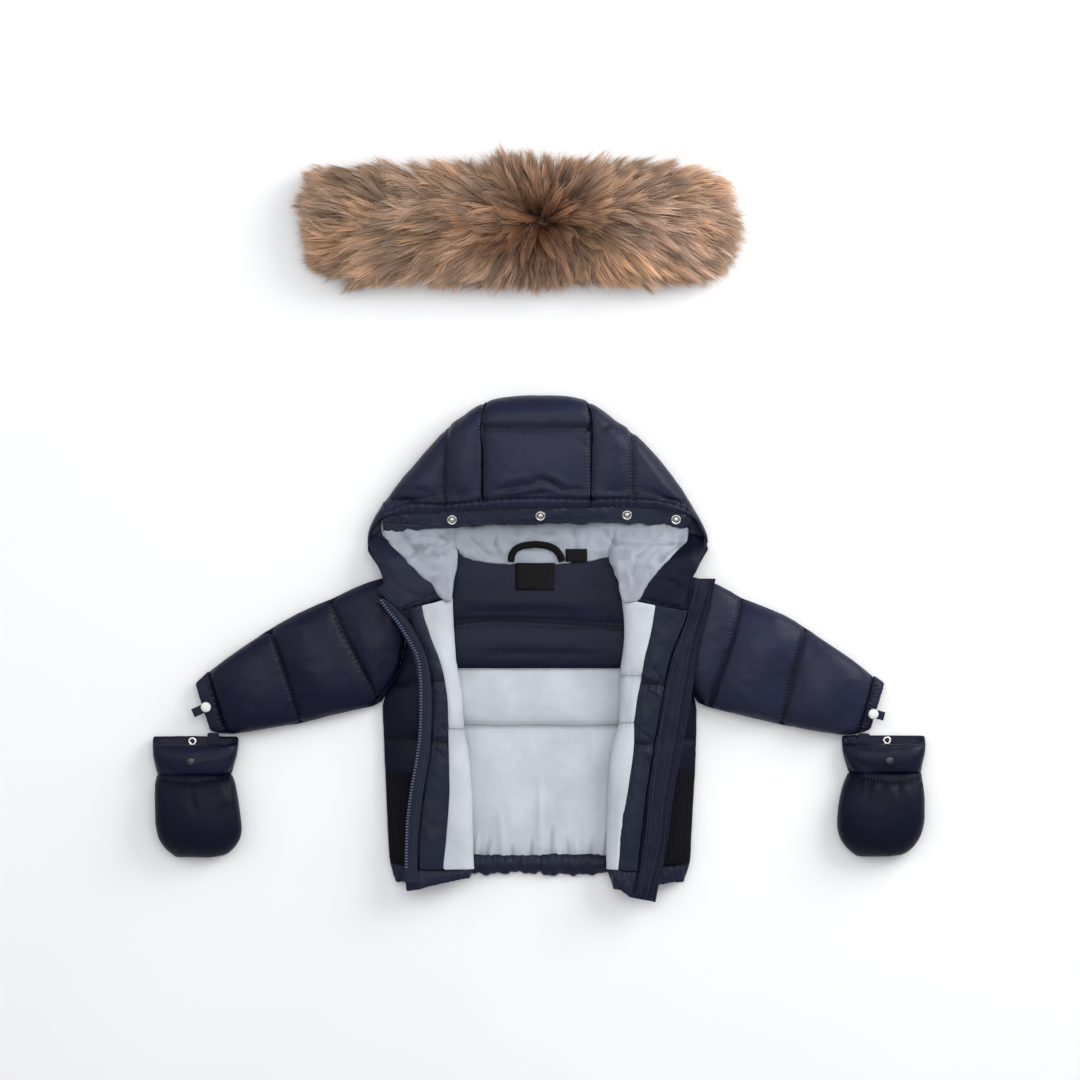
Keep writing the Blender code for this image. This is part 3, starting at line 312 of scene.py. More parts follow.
shiny = {"Specular_IOR_Level": 0.16}
NAVY = cloth("navy_nylon", (0.0125, 0.0150, 0.0380), 0.42, pucker=0.22, crinkle=0.4, Specular_IOR_Level=0.18)
NAVY_INSIDE = cloth("navy_facing", (0.0105, 0.0130, 0.0310), 0.45, pitch=4.2, **shiny)
NAVY_ELASTIC = cloth("navy_gathered", (0.0110, 0.0135, 0.0330), 0.44, pitch=4.5, pucker=0.5, **shiny)
# Painted shade: a much darker copy of the navy nylon, for the fronts, the mitten bags and the right collar
# facing, which lie in shade.
NAVY_DARK_SHADE = cloth("navy_dark_painted_shade", (0.0032, 0.0046, 0.0150), 0.46, Specular_IOR_Level=0.11)
# Painted shade: a darker copy of the navy nylon, for the left sleeve, the yoke, the flap and the mitten wrist
# bands, which lie in shade.
NAVY_SHADED = cloth("navy_painted_shade", (0.0044, 0.0061, 0.0230), 0.42, pucker=0.2, crinkle=0.4, **shiny)
# Painted highlight: the rim facing's navy is lighter than the shell's, and its hollows take more painted
# shade.
NAVY_RIM = cloth("navy_rim", (0.0150, 0.0180, 0.0420), 0.38, crinkle=1.5, hollow_shade=0.8, Specular_IOR_Level=0.35)
pale_cloth = {"pitch": 4.5, "pucker": 0.2, "seam_dark": 0.3, "Specular_IOR_Level": 0.3}
# Painted shade: a darker copy of the pale lining, for the lining inside the hood, which the hood's rim
# shades.
PALE_SHADED = cloth("pale_lining_painted_shade", (0.33, 0.36, 0.41), 0.72, crinkle=0.9, hollow_shade=0.6, **pale_cloth)
PALE = cloth("pale_lining", (0.52, 0.55, 0.60), 0.72, crinkle=0.3, **pale_cloth)
print("cloth finishes ready")


# %% Ribs, tapes and labels
def ribbed(name, colour, rough, pitch, deep, across="X", slant=0.0):
    """Knitted ribs or a corded weave: soft ridges side by side, with their pitch and depth in millimetres."""
    paint = Paint(name, rough, Specular_IOR_Level=0.12)
    run = paint.along(across) + paint.along("Y" if across == "X" else "X") * slant
    wave = (run * (TURN / (pitch * MM)) + paint.grain(60.0) * 1.5).sin()
    knit = paint.grain(900.0, 1.0)
    paint.relief(wave * (deep * MM) + knit * (0.08 * MM))
    # Painted shade and highlight: the colour follows the relief, darker in each rib's trough and lighter on
    # its crest.
    paint.colour(paint.mix(wave.between(-0.8, 0.9), shade(colour, 0.4), shade(colour, 1.5)))
    return paint.material


RIB = ribbed("black_rib", (0.0050, 0.0048, 0.0072), 0.85, 2.6, 0.35, slant=0.04)
TAPE = ribbed("navy_tape", (0.016, 0.020, 0.038), 0.62, 1.1, 0.06, across="Y")
LABEL = ribbed("black_label", (0.0040, 0.0040, 0.0050), 0.55, 0.7, 0.03, across="Y")
WEBBING = ribbed("black_webbing", (0.0040, 0.0040, 0.0050), 0.70, 1.3, 0.12, across="X")
print("tape finishes ready")


# %% Metal and moulded caps
def moulded(name, colour, rough, metal=0.0, **fixed):
    """Metal or plastic with slight wear."""
    paint = Paint(name, rough, metal, **fixed)
    wear = paint.grain(260.0, 3.0, 0.6)
    paint.colour(paint.mix(wear.between(0.35, 0.75), shade(colour, 0.86), colour))
    paint.rough(rough + (wear - 0.5) * 0.16)
    paint.relief(paint.grain(500.0, 2.0) * (0.02 * MM))
    return paint.material


NICKEL = moulded("satin_nickel", (0.66, 0.65, 0.62), 0.22, 1.0)
# Painted shade: a dark metal for thin discs set in a stud's groove and a socket's hole.
PAINTED_WELL_SHADE = moulded("snap_well_painted_shade", (0.02, 0.02, 0.022), 0.5, 0.6)
WHITE_CAP = moulded("white_cap", (0.80, 0.80, 0.78), 0.30, Coat_Weight=0.3)
NAVY_CAP = moulded("navy_cap", (0.008, 0.010, 0.020), 0.33, Coat_Weight=0.3)
TEETH = moulded("zip_teeth", (0.085, 0.105, 0.180), 0.40)
THREAD = moulded("navy_thread", (0.026, 0.032, 0.058), 0.6)
table_top = Paint("pale_floor", 0.75)
clouds = table_top.grain(3.0, 2.0).between(0.3, 0.7)
table_top.colour(table_top.mix(clouds, (0.93, 0.93, 0.94), (0.95, 0.95, 0.95)))
floor.data.materials.append(table_top.material)
print("hard finishes ready")


# %% [markdown]
# ## Noise for cloth
# Real cloth never repeats. A displacement texture could do it, but the seams need the same numbers, so
# this is plain value noise: a number for each corner of a grid of cubes, blended smoothly inside each
# cube, so that neighbouring points get nearly the same push.

# %% Smooth noise in numpy
def step(t):
    """0 up to 0, 1 from 1 on, and a smooth slope in between."""
    t = np.clip(t, 0.0, 1.0)
    return t * t * (3.0 - 2.0 * t)


def corner(i, j, k, seed):
    """A fixed but scattered number from -1 to 1 for each grid corner; the factors are just large and odd."""
    n = (i * 374761393 + j * 668265263 + k * 1442695041 + seed * 974711) & 0xFFFFFFFF
    n = ((n ^ (n >> 13)) * 1274126177) & 0xFFFFFFFF
    return ((n ^ (n >> 16)) & 0xFFFF) / 32767.5 - 1.0


def noise(points, cell, seed=0):
    """Smooth numbers from -1 to 1 at points in millimetres, with lumps about one cell wide."""
    q = np.asarray(points, float) / cell
    if q.ndim == 1:
        q = np.stack([q, q * 0 + 0.5, q * 0 + 0.5], axis=1)
    base = np.floor(q).astype(np.int64)
    f = step(q - base)
    total = 0.0
    for ends in np.ndindex(2, 2, 2):
        near = [f[:, k] if end else 1 - f[:, k] for k, end in enumerate(ends)]
        places = [base[:, k] + end for k, end in enumerate(ends)]
        total = total + near[0] * near[1] * near[2] * corner(*places, seed)
    return total


def beside(xy, path):
    """Distance to a drawn line, how far along it the nearest spot is, and which side the point lies on."""
    gap = np.full(len(xy), 1e6)
    run = np.zeros(len(xy))
    side = np.zeros(len(xy))
    done = 0.0
    for a, b in zip(path, path[1:]):
        way = b - a
        length = float(np.hypot(*way)) + 1e-9
        t = np.clip(((xy - a) @ way) / length**2, 0.0, 1.0)
        off = xy - (a + t[:, None] * way)
        d = np.hypot(off[:, 0], off[:, 1])
        closer = d < gap
        gap[closer] = d[closer]
        run[closer] = (done + t * length)[closer]
        side[closer] = (np.sign(way[0] * off[:, 1] - way[1] * off[:, 0]) * d)[closer]
        done += length
    return gap, run, side, done


print("noise test:", np.round(noise(np.array([3.0, 9.0, 27.0]), 10.0), 2))

# %% [markdown]
# ## Making one piece of cloth
# Each piece starts as a copy of its solid. The loose triangles are merged and joined into quads, the
# cut edges are creased so that they stay put, and a subdivision surface rounds the rest. Then every
# point is moved along its normal: down into the seams, up into small gathers beside them, and a little
# by noise. A ray through the cloth tells how thick it is, so that a trough never comes out at the back.

# %% Copy, merge and subdivide
SHARP = math.radians(50)


def take(node, name, levels, edge=0.45):
    """A finer copy of a solid: merged, made of quads, creased at its sharp edges and subdivided."""
    mesh = NODES[node].data.copy()
    mesh.name = name
    piece = bpy.data.objects.new(name, mesh)
    bpy.context.scene.collection.objects.link(piece)
    mesh.materials.clear()
    pick(piece)
    bpy.ops.object.mode_set(mode="EDIT")
    bpy.ops.mesh.select_all(action="SELECT")
    bpy.ops.mesh.remove_doubles(threshold=0.00001)
    bpy.ops.mesh.tris_convert_to_quads(face_threshold=math.radians(60), shape_threshold=math.radians(80))
    bpy.ops.object.mode_set(mode="OBJECT")
    work = bmesh.new()
    work.from_mesh(mesh)
    crease = work.edges.layers.float.get("crease_edge") or work.edges.layers.float.new("crease_edge")
    for rib in work.edges:
        if len(rib.link_faces) == 2 and rib.calc_face_angle(0.0) > SHARP:
            rib[crease] = edge
    work.to_mesh(mesh)
    work.free()
    was = extent(piece)
    finer = piece.modifiers.new("finer", "SUBSURF")
    finer.levels = levels
    finer.render_levels = levels
    finer.boundary_smooth = "PRESERVE_CORNERS"
    bpy.ops.object.modifier_apply(modifier="finer")
    fit(piece, was)
    mesh.shade_smooth()
    return piece


def extent(piece):
    """The lowest and the highest corner of a piece."""
    spots, _ = read(piece)
    return spots.min(0), spots.max(0)


def fit(piece, was):
    """Rounding draws a piece in; this stretches it back, so that it meets its neighbours again."""
    low, high = extent(piece)
    spots, _ = read(piece)
    write(piece, was[0] + (spots - low) * (was[1] - was[0]) / (high - low))


def read(piece):
    """The places of a piece's points, in metres, and their normals."""
    count = len(piece.data.vertices)
    spots = np.empty(count * 3)
    normals = np.empty(count * 3)
    piece.data.vertices.foreach_get("co", spots)
    piece.data.vertex_normals.foreach_get("vector", normals)
    return spots.reshape(-1, 3), normals.reshape(-1, 3)


def write(piece, spots):
    piece.data.vertices.foreach_set("co", spots.ravel())
    piece.data.update()


def nudge(piece, change):
    """Moves a piece's points by a rule: change(x, y, z) in millimetres gives the new places."""
    spots, _ = read(piece)
    write(piece, np.stack(change(*(spots.T / MM)), 1) * MM)


def keep(piece, name, values):
    """Writes a number on each point, for the shaders to read."""
    if name not in piece.data.attributes:
        piece.data.attributes.new(name, "FLOAT", "POINT")
    piece.data.attributes[name].data.foreach_set("value", np.asarray(values, np.float32))


def depth(piece, spots, normals, which):
    """Thickness of the cloth under each chosen point, in metres."""
    skin = bmesh.new()
    skin.from_mesh(piece.data)
    tree = BVHTree.FromBMesh(skin)
    skin.free()
    thick = np.full(len(spots), 0.05)
    for i in np.nonzero(which)[0]:
        n = Vector(normals[i])
        hit = tree.ray_cast(Vector(spots[i]) - n * 0.0001, -n, 0.05)
        if hit[0] is not None:
            thick[i] = hit[3] + 0.0001
    return thick


# %% Seams, gathers and folds
def seam(path, pinch=1.6, wide=3.0, gather=0.4, reach=5.0, pitch=6.5):
    """A line of stitching: how deep and wide it draws the cloth in, and how far its gathers reach, in mm."""
    return {"path": path, "pinch": pinch, "wide": wide, "gather": gather, "reach": reach, "pitch": pitch}


def creases(*rows):
    """Folds laid one by one. A row has the rise (below 0 for a trough) and width in mm, then the pixels."""
    return [{"rise": rise, "wide": wide, "path": line(*spots)} for rise, wide, *spots in rows]


def puckers(run, pitch, seed):
    """Uneven little ridges along a seam."""
    beat = run / pitch + 0.55 * noise(run, pitch * 2.3, seed)
    height = 0.55 + 0.45 * noise(run, pitch * 1.6, seed + 5)
    return (np.abs(np.sin(math.pi * beat)) * 2.0 - 1.0) * height


def drape(
    piece, seams=(), folds=(), swell=(0.5, 35.0), crumple=(0.25, 9.0),
    where=None, facing=-0.1, seed=1, lift=0.0,
):
    """Moves every outer point of a piece along its normal, and writes down where its seams are.

    swell and crumple are each a height and a lump size in mm. Normals that point lower than facing stay put.
    """
    spots, normals = read(piece)
    mm = spots * 1000.0
    weight = step((normals[:, 2] - facing) / 0.35)
    if where is not None:
        weight = weight * where(mm)
    push = swell[0] * noise(mm, swell[1], seed) + 0.4 * swell[0] * noise(mm, swell[1] * 0.45, seed + 1)
    push += crumple[0] * (0.5 - np.abs(noise(mm, crumple[1], seed + 2))) * 1.4
    gap_all = np.full(len(mm), 500.0)
    run_all = np.zeros(len(mm))
    side_all = np.full(len(mm), 500.0)
    pull_all = np.zeros(len(mm))
    for k, each in enumerate(seams):
        gap, run, side, _ = beside(mm[:, :2], each["path"])
        near = gap / each["reach"]
        pinched = np.exp(-((gap / each["wide"]) ** 2)) + 0.75 * np.exp(-gap / (3.0 * each["wide"]))
        push -= each["pinch"] * pinched
        push += each["gather"] * puckers(run, each["pitch"], seed + 11 * k) * near * 2.7 * np.exp(-2.2 * near)
        closer = gap < gap_all
        gap_all[closer] = gap[closer]
        run_all[closer] = run[closer]
        side_all[closer] = side[closer]
        pull_all[closer] = min(1.0, each["gather"])
    for each in folds:
        gap, run, side, total = beside(mm[:, :2], each["path"])
        taper = np.sin(math.pi * np.clip(run / total, 0.02, 0.98)) ** 0.6
        push += each["rise"] * np.exp(-((gap / each["wide"]) ** 2)) * taper
    # How far each point is pushed in, kept on the mesh for the painted shade in the cloth's colour.
    hollow_shade = np.clip(-push / 2.4, 0, 1) * weight
    thick = depth(piece, spots, normals, (weight > 0.02) & (push < 0)) * 1000.0
    push = (np.maximum(push, -0.62 * thick) + lift) * weight
    spots += normals * (push * MM)[:, None]
    spots[:, 2] = np.maximum(spots[:, 2], 0.0001)
    write(piece, spots)
    keep(piece, "hollow_shade", hollow_shade)
    keep(piece, "seam_near", gap_all * MM)
    keep(piece, "seam_along", run_all * MM)
    keep(piece, "seam_side", side_all * MM)
    keep(piece, "seam_pull", pull_all * np.where(weight > 0.3, 1.0, 0.0))
    return piece


FLATS = {
    "lining_back_upper": (0.214, 0.118, "laid", "back_shell"),
    "lining_back_lower": (0.222, 0.214, "laid", "back_shell"),
    "lining_front_left": (0.036, 0.300, "folded", "front_left"),
    "lining_front_right": (0.034, 0.300, "folded", "front_right"),
    "facing_left": (0.021, 0.292, "laid", "front_left"),
    "facing_right": (0.026, 0.292, "laid", "front_right"),
    "zip_tape_left": (0.015, 0.318, "laid", "facing_left"),
    "zip_tape_right": (0.010, 0.288, "laid", "facing_right"),
    "pocket_left": (0.038, 0.104, "laid", "front_left"),
    "pocket_right": (0.038, 0.106, "laid", "front_right"),
    "hood_lining_left": (0.074, 0.092, "folded", "hood_side_left"),
    "hood_lining_back": (0.168, 0.068, "laid", "hood_centre"),
    "hood_lining_right": (0.080, 0.096, "folded", "hood_side_right"),
    "hood_rim_facing": (0.028, 0.325, "folded", "hood_centre"),
    "collar_facing_left": (0.048, 0.070, "folded", "hood_side_left"),
    "collar_facing_right": (0.048, 0.069, "folded", "hood_side_right"),
    "cuff_tab_left": (0.011, 0.020, "laid", "cuff_left"),
    "cuff_tab_right": (0.011, 0.018, "laid", "cuff_right"),
    "mitten_tether_left": (0.013, 0.020, "laid", "mitten_band_left"),
    "mitten_tether_right": (0.013, 0.019, "laid", "mitten_band_right"),
    "neck_label": (0.043, 0.030, "laid", "lining_back_upper"),
    "size_label": (0.024, 0.014, "laid", "hood_lining_back"),
    "hang_loop": (0.010, 0.095, "laid", "hood_lining_back"),
    "fur_tape": (0.030, 0.440, "laid", "fur_trim"),
}


def done(piece, finish, node):
    """Gives a finished piece its cloth and lets it stand for its solid."""
    piece.data.materials.append(finish)
    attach(piece, "root")
    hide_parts(node)
    node in FLATS
    print(piece.name, len(piece.data.polygons), "faces")
    return piece


print("cloth tools ready")

# %% [markdown]
# ## The back
# The back panel is one padded piece that rests on the table, so its underside stays flat. Inside, it is
# lined twice: a navy yoke across the shoulders with a single quilting line, and pale lining below. The
# hem is a channel with elastic in it, drawn up into small round gathers. A cloth simulation could draw
# up the hem, but its gathers would fall where they like. Laid one by one, they fall where the real ones
# are.

# %% Back panel, its linings and its hem
QUILTS = (-60.0, -112.0, -176.0, -238.0, -304.0, -374.0)
back = take("back_shell", "back_panel", 2, edge=0.3)
drape(back, [seam(level(y, -175, 175), gather=0.6) for y in QUILTS], seed=3)
done(back, NAVY, "back_shell")

yoke = take("lining_back_upper", "back_yoke_lining", 3)


def to_the_neck(x, y, z):
    """The yoke's top corners reach under the hood at both ends of the neck seam."""
    corner_part = step((np.abs(x) - 48.0) / 27.0) * step((y + 66.0) / 18.0)
    return x + np.sign(x) * 17.0 * corner_part, y + 5.0 * corner_part, z - 0.6 * corner_part


nudge(yoke, to_the_neck)
yoke_quilt = line((450, 625), (490, 620), (539, 622), (590, 625), (632, 627))
YOKE_FOOT = level(-161, -118, 118)
drape(
    yoke,
    [seam(yoke_quilt, pinch=1.4, wide=3.5, gather=0.5, reach=8), seam(YOKE_FOOT, pinch=0.8, gather=0.5)],
    creases(
        (-0.8, 2.2, (470, 652), (476, 642), (474, 632)),
        (-0.8, 2.2, (604, 650), (598, 640), (602, 631)),
        (0.9, 9, (462, 596), (500, 603), (545, 601), (600, 607)),
        (-0.7, 5, (470, 612), (520, 610), (570, 613)),
        (0.9, 10, (468, 640), (520, 645), (600, 641)),
        (-0.6, 5, (480, 655), (540, 652), (610, 657)),
    ),
    swell=(0.6, 28.0),
    seed=5,
)
done(yoke, NAVY_SHADED, "lining_back_upper")

# %% Pale lining of the back, with folds that rise from the hem
pale_back = take("lining_back_lower", "back_lining", 3)
pale_quilt = line((455, 725), (500, 726), (539, 725.5), (580, 726), (630, 725))
HEM_TOP_V = 860
HEM_FOLDS = (
    # across, top end, rise, width
    (474, 832, 1.5, 2.2),
    (484, 838, -1.6, 1.6),
    (491, 846, 1.6, 1.8),
    (503, 806, 1.2, 4.0),
    (513, 842, -1.7, 1.7),
    (522, 846, 1.4, 2.2),
    (531, 838, -1.5, 1.8),
    (540, 776, 1.5, 3.4),
    (551, 826, -1.6, 2.0),
    (558, 846, 1.5, 2.0),
    (570, 838, -1.7, 1.7),
    (580, 842, 1.3, 2.2),
    (590, 840, -1.5, 1.7),
    (600, 826, 1.5, 2.4),
)
hem_folds = []
for k, (u, high, rise, wide) in enumerate(HEM_FOLDS):
    lean = 0.12 * (539 - u) * math.sin(k * 1.3 + 0.6)
    middle = (u + lean * 0.4, (HEM_TOP_V + high) / 2)
    hem_folds += creases((rise * 1.4, wide, (u, HEM_TOP_V), middle, (u + lean, high)))
drape(
    pale_back,
    [
        seam(pale_quilt, pinch=1.7, wide=3.2, gather=0.35, reach=8, pitch=7),
        seam(YOKE_FOOT, pinch=1.0, gather=0.3, reach=8, pitch=8),
        seam(level(-366, -118, 118), pinch=1.0, gather=0.7, reach=14, pitch=9),
    ],
    hem_folds,
    swell=(0.8, 40.0),
    seed=7,
)
done(pale_back, PALE, "lining_back_lower")

# %% Elastic hem of the back
hem = take("hem_back", "back_hem", 2, edge=0.25)


def scallop(x, y, z):
    """The elastic draws the hem up into uneven arches, along both of its edges."""
    wave = np.abs(np.sin(math.pi * (x / 23.0 + 0.35 * noise(x, 31.0, 4)))) * (0.7 + 0.5 * noise(x, 27.0, 9))
    low = step((-374 - y) / 8)
    high = step((y + 374) / 8)
    top = 0.5 + 0.5 * noise(x, 15.0, 12) + 0.25 * noise(x, 6.0, 13)
    return x, y - 3.4 * low * (wave - 0.35) + high * (6.5 * top - 2.5), z + 1.6 * high


def under_the_hem(x, y, z):
    """The pale lining runs on down below the hem's upper edge."""
    return x, y - 6.0 * step((-346 - y) / 18), z - 3.2 * step((-352 - y) / 13)


nudge(hem, scallop)
nudge(pale_back, under_the_hem)
elastic = seam(level(-364.0, -165, 165), pinch=0.6, gather=2.0, reach=20, pitch=7.5)
drape(hem, [elastic], swell=(1.0, 13.0), crumple=(1.0, 8.0), seed=9)
done(hem, NAVY_ELASTIC, "hem_back")

# %% [markdown]
# ## The fronts
# Each front is folded back over itself: the lower layer lies on the back, the upper layer is the lapel.
# Both are padded, with quilting lines straight across at the same heights as on the back. Little of a
# front is left to see, so one subdivision less than on the sleeves is enough.

# %% Fronts and their hems
for hand, way, start, stop, hem_top in (("left", -1, -200, -60, -374.5), ("right", 1, 60, 200, -376)):
    front = take("front_" + hand, "front_panel_" + hand, 2)
    drape(front, [seam(level(y, start, stop), gather=0.5, reach=6) for y in QUILTS], seed=20 + way)
    # The fronts' shell takes the much darker navy copy: painted shade.
    done(front, NAVY_DARK_SHADE, "front_" + hand)
    foot = take("hem_front_" + hand, "front_hem_" + hand, 3, edge=0.3)
    nudge(foot, lambda x, y, z: (x, y + 2.2 * step((y + 384) / 8), z))
    gathers = seam(level(hem_top, start, stop), gather=2.2, reach=20, pitch=6)
    drape(foot, [gathers], swell=(1.0, 12.0), crumple=(0.6, 7.0), seed=30 + way)
    done(foot, NAVY_ELASTIC, "hem_front_" + hand)

# %% [markdown]
# ## Linings and facings of the fronts
# What shows on the lapels is the inside of the coat: a strip of pale lining round the fold, and beside
# it the navy facing. Each could be one flat band with its wrinkles painted on, but an oblique view
# would give that away. So their quilting lines, which are those of the padded front under them, and the
# wrinkles at these are shaped in the mesh.

# %% Lapel cloth
facing_lines = {
    "left": [
        seam(line((412, 741), (430, 740), (450, 742)), gather=1.5, reach=13, pitch=7),
        seam(line((412, 682), (450, 680)), pinch=0.8, gather=0.5, reach=8, pitch=8),
    ],
    "right": [
        seam(line((636, 681), (650, 684), (668, 683)), gather=1.5, reach=13, pitch=7),
        seam(line((630, 742), (645, 744), (660, 742)), gather=1.5, reach=13, pitch=7),
    ],
}
facing_folds = {
    "left": creases(
        (1.5, 2.0, (416, 734), (430, 737), (446, 734)),
        (1.4, 2.2, (414, 747), (428, 745), (442, 749)),
        (-1.6, 1.7, (424, 727), (430, 733), (434, 739)),
        (-1.6, 1.7, (432, 745), (439, 751), (445, 758)),
        (-1.0, 1.8, (417, 752), (425, 757), (430, 765)),
        (-1.2, 1.7, (440, 722), (445, 729), (450, 734)),
    ),
    "right": creases(
        (-1.6, 1.8, (652, 667), (658, 675), (664, 683)),
        (1.4, 2.0, (645, 687), (654, 690), (664, 698)),
        (1.2, 2.0, (640, 672), (648, 677), (656, 680)),
        (1.4, 2.0, (634, 749), (644, 750), (654, 756)),
        (-1.5, 1.7, (640, 731), (648, 736), (655, 741)),
        (-1.1, 1.8, (645, 755), (650, 764), (653, 774)),
    ),
}
lining_lines = {
    "left": [seam(line((440, 728), (470, 729)), pinch=0.9, gather=0.6, reach=8, pitch=8)],
    "right": [
        seam(line((612, 723), (645, 722)), pinch=0.9, gather=0.6, reach=8, pitch=8),
        seam(line((616, 675), (650, 676)), pinch=0.9, gather=0.6, reach=8, pitch=8),
    ],
}


def bulge(x, y, z):
    """The edge beside the pale strip swells out between the quilting lines, which are 66 mm apart."""
    return x - 3.2 * np.abs(np.sin(math.pi * (y + 176) / 66)) * step((106 - x) / 14), y, z


for hand in ("left", "right"):
    facing = take("facing_" + hand, "front_facing_" + hand, 3)
    if hand == "right":
        nudge(facing, bulge)
    drape(facing, facing_lines[hand], facing_folds[hand], swell=(0.9, 24.0), crumple=(0.5, 9.0), seed=41)
    done(facing, NAVY_INSIDE, "facing_" + hand)
    strip = take("lining_front_" + hand, "front_lining_" + hand, 2)
    drape(strip, lining_lines[hand], swell=(0.6, 26.0), facing=-0.6, seed=43)
    done(strip, PALE, "lining_front_" + hand)

# %% [markdown]
# ## Sleeves, cuffs and mittens
# A sleeve is a padded tube, quilted round at two places. Its cuff is drawn in by elastic, which shows
# as fine ridges. A mitten has a gathered wrist band with its mouth open, and a padded bag below the
# band. Pressure in a cloth simulation would also puff them up, but the solids are puffed already, so
# only seams, gathers and creases are added.

# %% Sleeves and cuffs
sleeve_seams = {
    "left": [
        seam(line((269, 629), (279, 655), (290, 688), (301, 723)), pinch=2.0, gather=0.6, reach=6),
        seam(line((330, 599), (344, 632), (362, 668), (381, 705)), pinch=2.0, gather=0.6, reach=6),
        seam(
            line((403, 573), (407, 602), (407, 629), (403, 655), (396, 677), (380, 702)), gather=0.6, reach=6
        ),
        seam(line((207, 672), (218, 704), (227, 735)), pinch=1.2, gather=0.9, reach=9, pitch=5),
    ],
    "right": [
        seam(line((806, 628), (797, 660), (789, 692), (781, 726)), pinch=2.0, gather=0.6, reach=6),
        seam(line((742, 599), (731, 640), (719, 675), (709, 707)), pinch=2.0, gather=0.6, reach=6),
        seam(
            line((676, 573), (672, 602), (672, 629), (675, 655), (683, 677), (699, 703)), gather=0.6, reach=6
        ),
        seam(line((875, 673), (868, 704), (857, 735)), pinch=1.2, gather=0.9, reach=9, pitch=5),
    ],
}
# The left sleeve takes the darker navy copy, painted shade, and the right sleeve the lit navy.
for hand, shell, seed in (("left", NAVY_SHADED, 51), ("right", NAVY, 57)):
    sleeve = take("sleeve_" + hand, "padded_sleeve_" + hand, 3)
    drape(sleeve, sleeve_seams[hand], swell=(1.0, 34.0), crumple=(0.5, 12.0), seed=seed)
    done(sleeve, shell, "sleeve_" + hand)
    cuff = take("cuff_" + hand, "elastic_cuff_" + hand, 2, edge=0.3)
    elastic = seam(sleeve_seams[hand][3]["path"], pinch=0.9, gather=1.2, reach=22, pitch=4.2)
    drape(cuff, [elastic], swell=(0.4, 8.0), seed=61)
    done(cuff, NAVY_ELASTIC, "cuff_" + hand)

# %% Mittens
wrist_lines = {
    "left": line((155, 776), (163, 780), (195, 782), (222, 777), (233, 771)),
    "right": line((846, 771), (862, 777), (884, 780), (905, 780), (924, 778)),
}
mitten_folds = {
    "left": creases(
        (-1.6, 1.8, (172, 781), (174, 788), (176, 797)),
        (1.2, 2.0, (177, 781), (179, 788), (181, 794)),
        (-1.7, 1.8, (183, 782), (185, 791), (188, 801)),
        (-2.4, 2.2, (191, 783), (194, 797), (197, 814)),
        (1.5, 2.4, (197, 783), (200, 795), (203, 806)),
        (-1.2, 1.8, (206, 781), (207, 789), (206, 798)),
        (-1.7, 1.8, (214, 780), (215, 788), (219, 796)),
        (-1.1, 1.8, (224, 778), (226, 786), (229, 792)),
    ),
    "right": creases(
        (-1.4, 1.8, (858, 777), (859, 785), (857, 792)),
        (-1.8, 1.9, (868, 780), (868, 790), (866, 800)),
        (1.3, 2.0, (874, 780), (874, 789), (873, 797)),
        (-2.3, 2.2, (881, 781), (880, 794), (877, 810)),
        (1.3, 2.2, (890, 781), (890, 790), (892, 799)),
        (-1.8, 1.9, (897, 781), (898, 790), (900, 802)),
        (-1.4, 1.8, (908, 780), (910, 787), (913, 795)),
        (-1.1, 1.8, (917, 779), (919, 785), (922, 790)),
    ),
}
band_folds = {
    "left": creases(
        (-2.2, 1.7, (156, 742), (172, 746.5), (190, 747.5), (215, 746), (240, 742)),
        (-1.6, 3.0, (158, 739), (190, 742), (238, 738)),
        (-1.4, 2.2, (163, 758), (168, 764), (176, 772)),
        (-1.0, 2.4, (196, 770), (205, 764), (216, 762)),
        (1.2, 2.6, (215, 774), (222, 768), (231, 764)),
        (1.1, 2.4, (160, 769), (172, 774), (186, 776)),
    ),
    "right": creases(
        (-2.2, 1.7, (842, 742), (860, 746), (884, 747.5), (905, 746.5), (925, 742)),
        (-1.6, 3.0, (843, 738), (884, 742), (924, 738)),
        (-1.3, 2.3, (850, 757), (860, 763), (872, 767)),
        (-1.2, 2.4, (880, 771), (893, 768), (904, 762)),
        (1.1, 2.6, (905, 772), (914, 770), (922, 763)),
        (1.1, 2.4, (852, 768), (863, 772), (875, 773)),
    ),
}
for hand in ("left", "right"):
    band = take("mitten_band_" + hand, "mitten_wrist_" + hand, 2, edge=0.35)
    gathers = seam(wrist_lines[hand], gather=0.9, reach=9, pitch=6.5)
    drape(band, [gathers], band_folds[hand], swell=(0.9, 18.0), seed=71)
    nudge(band, lambda x, y, z: (x, y - 1.2 * step((-264 - y) / 10), z))
    done(band, NAVY_SHADED, "mitten_band_" + hand)
    bag = take("mitten_" + hand, "mitten_bag_" + hand, 2, edge=0.35)
    nudge(bag, lambda x, y, z: (x, y - 5.0 * step((-300 - y) / 45), z))
    gathers = seam(wrist_lines[hand], gather=0.9, reach=12, pitch=7)
    drape(bag, [gathers], mitten_folds[hand], swell=(0.9, 26.0), seed=73)
    done(bag, NAVY_DARK_SHADE, "mitten_" + hand)

# %% [markdown]
# ## The hood
# Three padded panels make the hood: a centre panel with one cross line, and a side panel each side with
# one upright line. Along the face edge they are stitched down to make a channel that stands up as a
# roll. Inside are a navy facing that carries the snaps for the ruff, and the pale lining. One mesh for
# the whole hood would be simpler, but its seams would only be grooves. Three panels that are drawn up
# to each other meet as sewn ones do.

# %% Hood panels
channel = line(
    (380, 500), (387, 498), (443, 504), (484, 499), (537, 496), (592, 499), (635, 497), (686, 502), (694, 504)
)


def hood_seam(*spots, pinch=1.6):
    """A seam of the hood, whose gathers are short and close."""
    return seam(line(*spots), pinch=pinch, gather=0.4, reach=4.5, pitch=5)


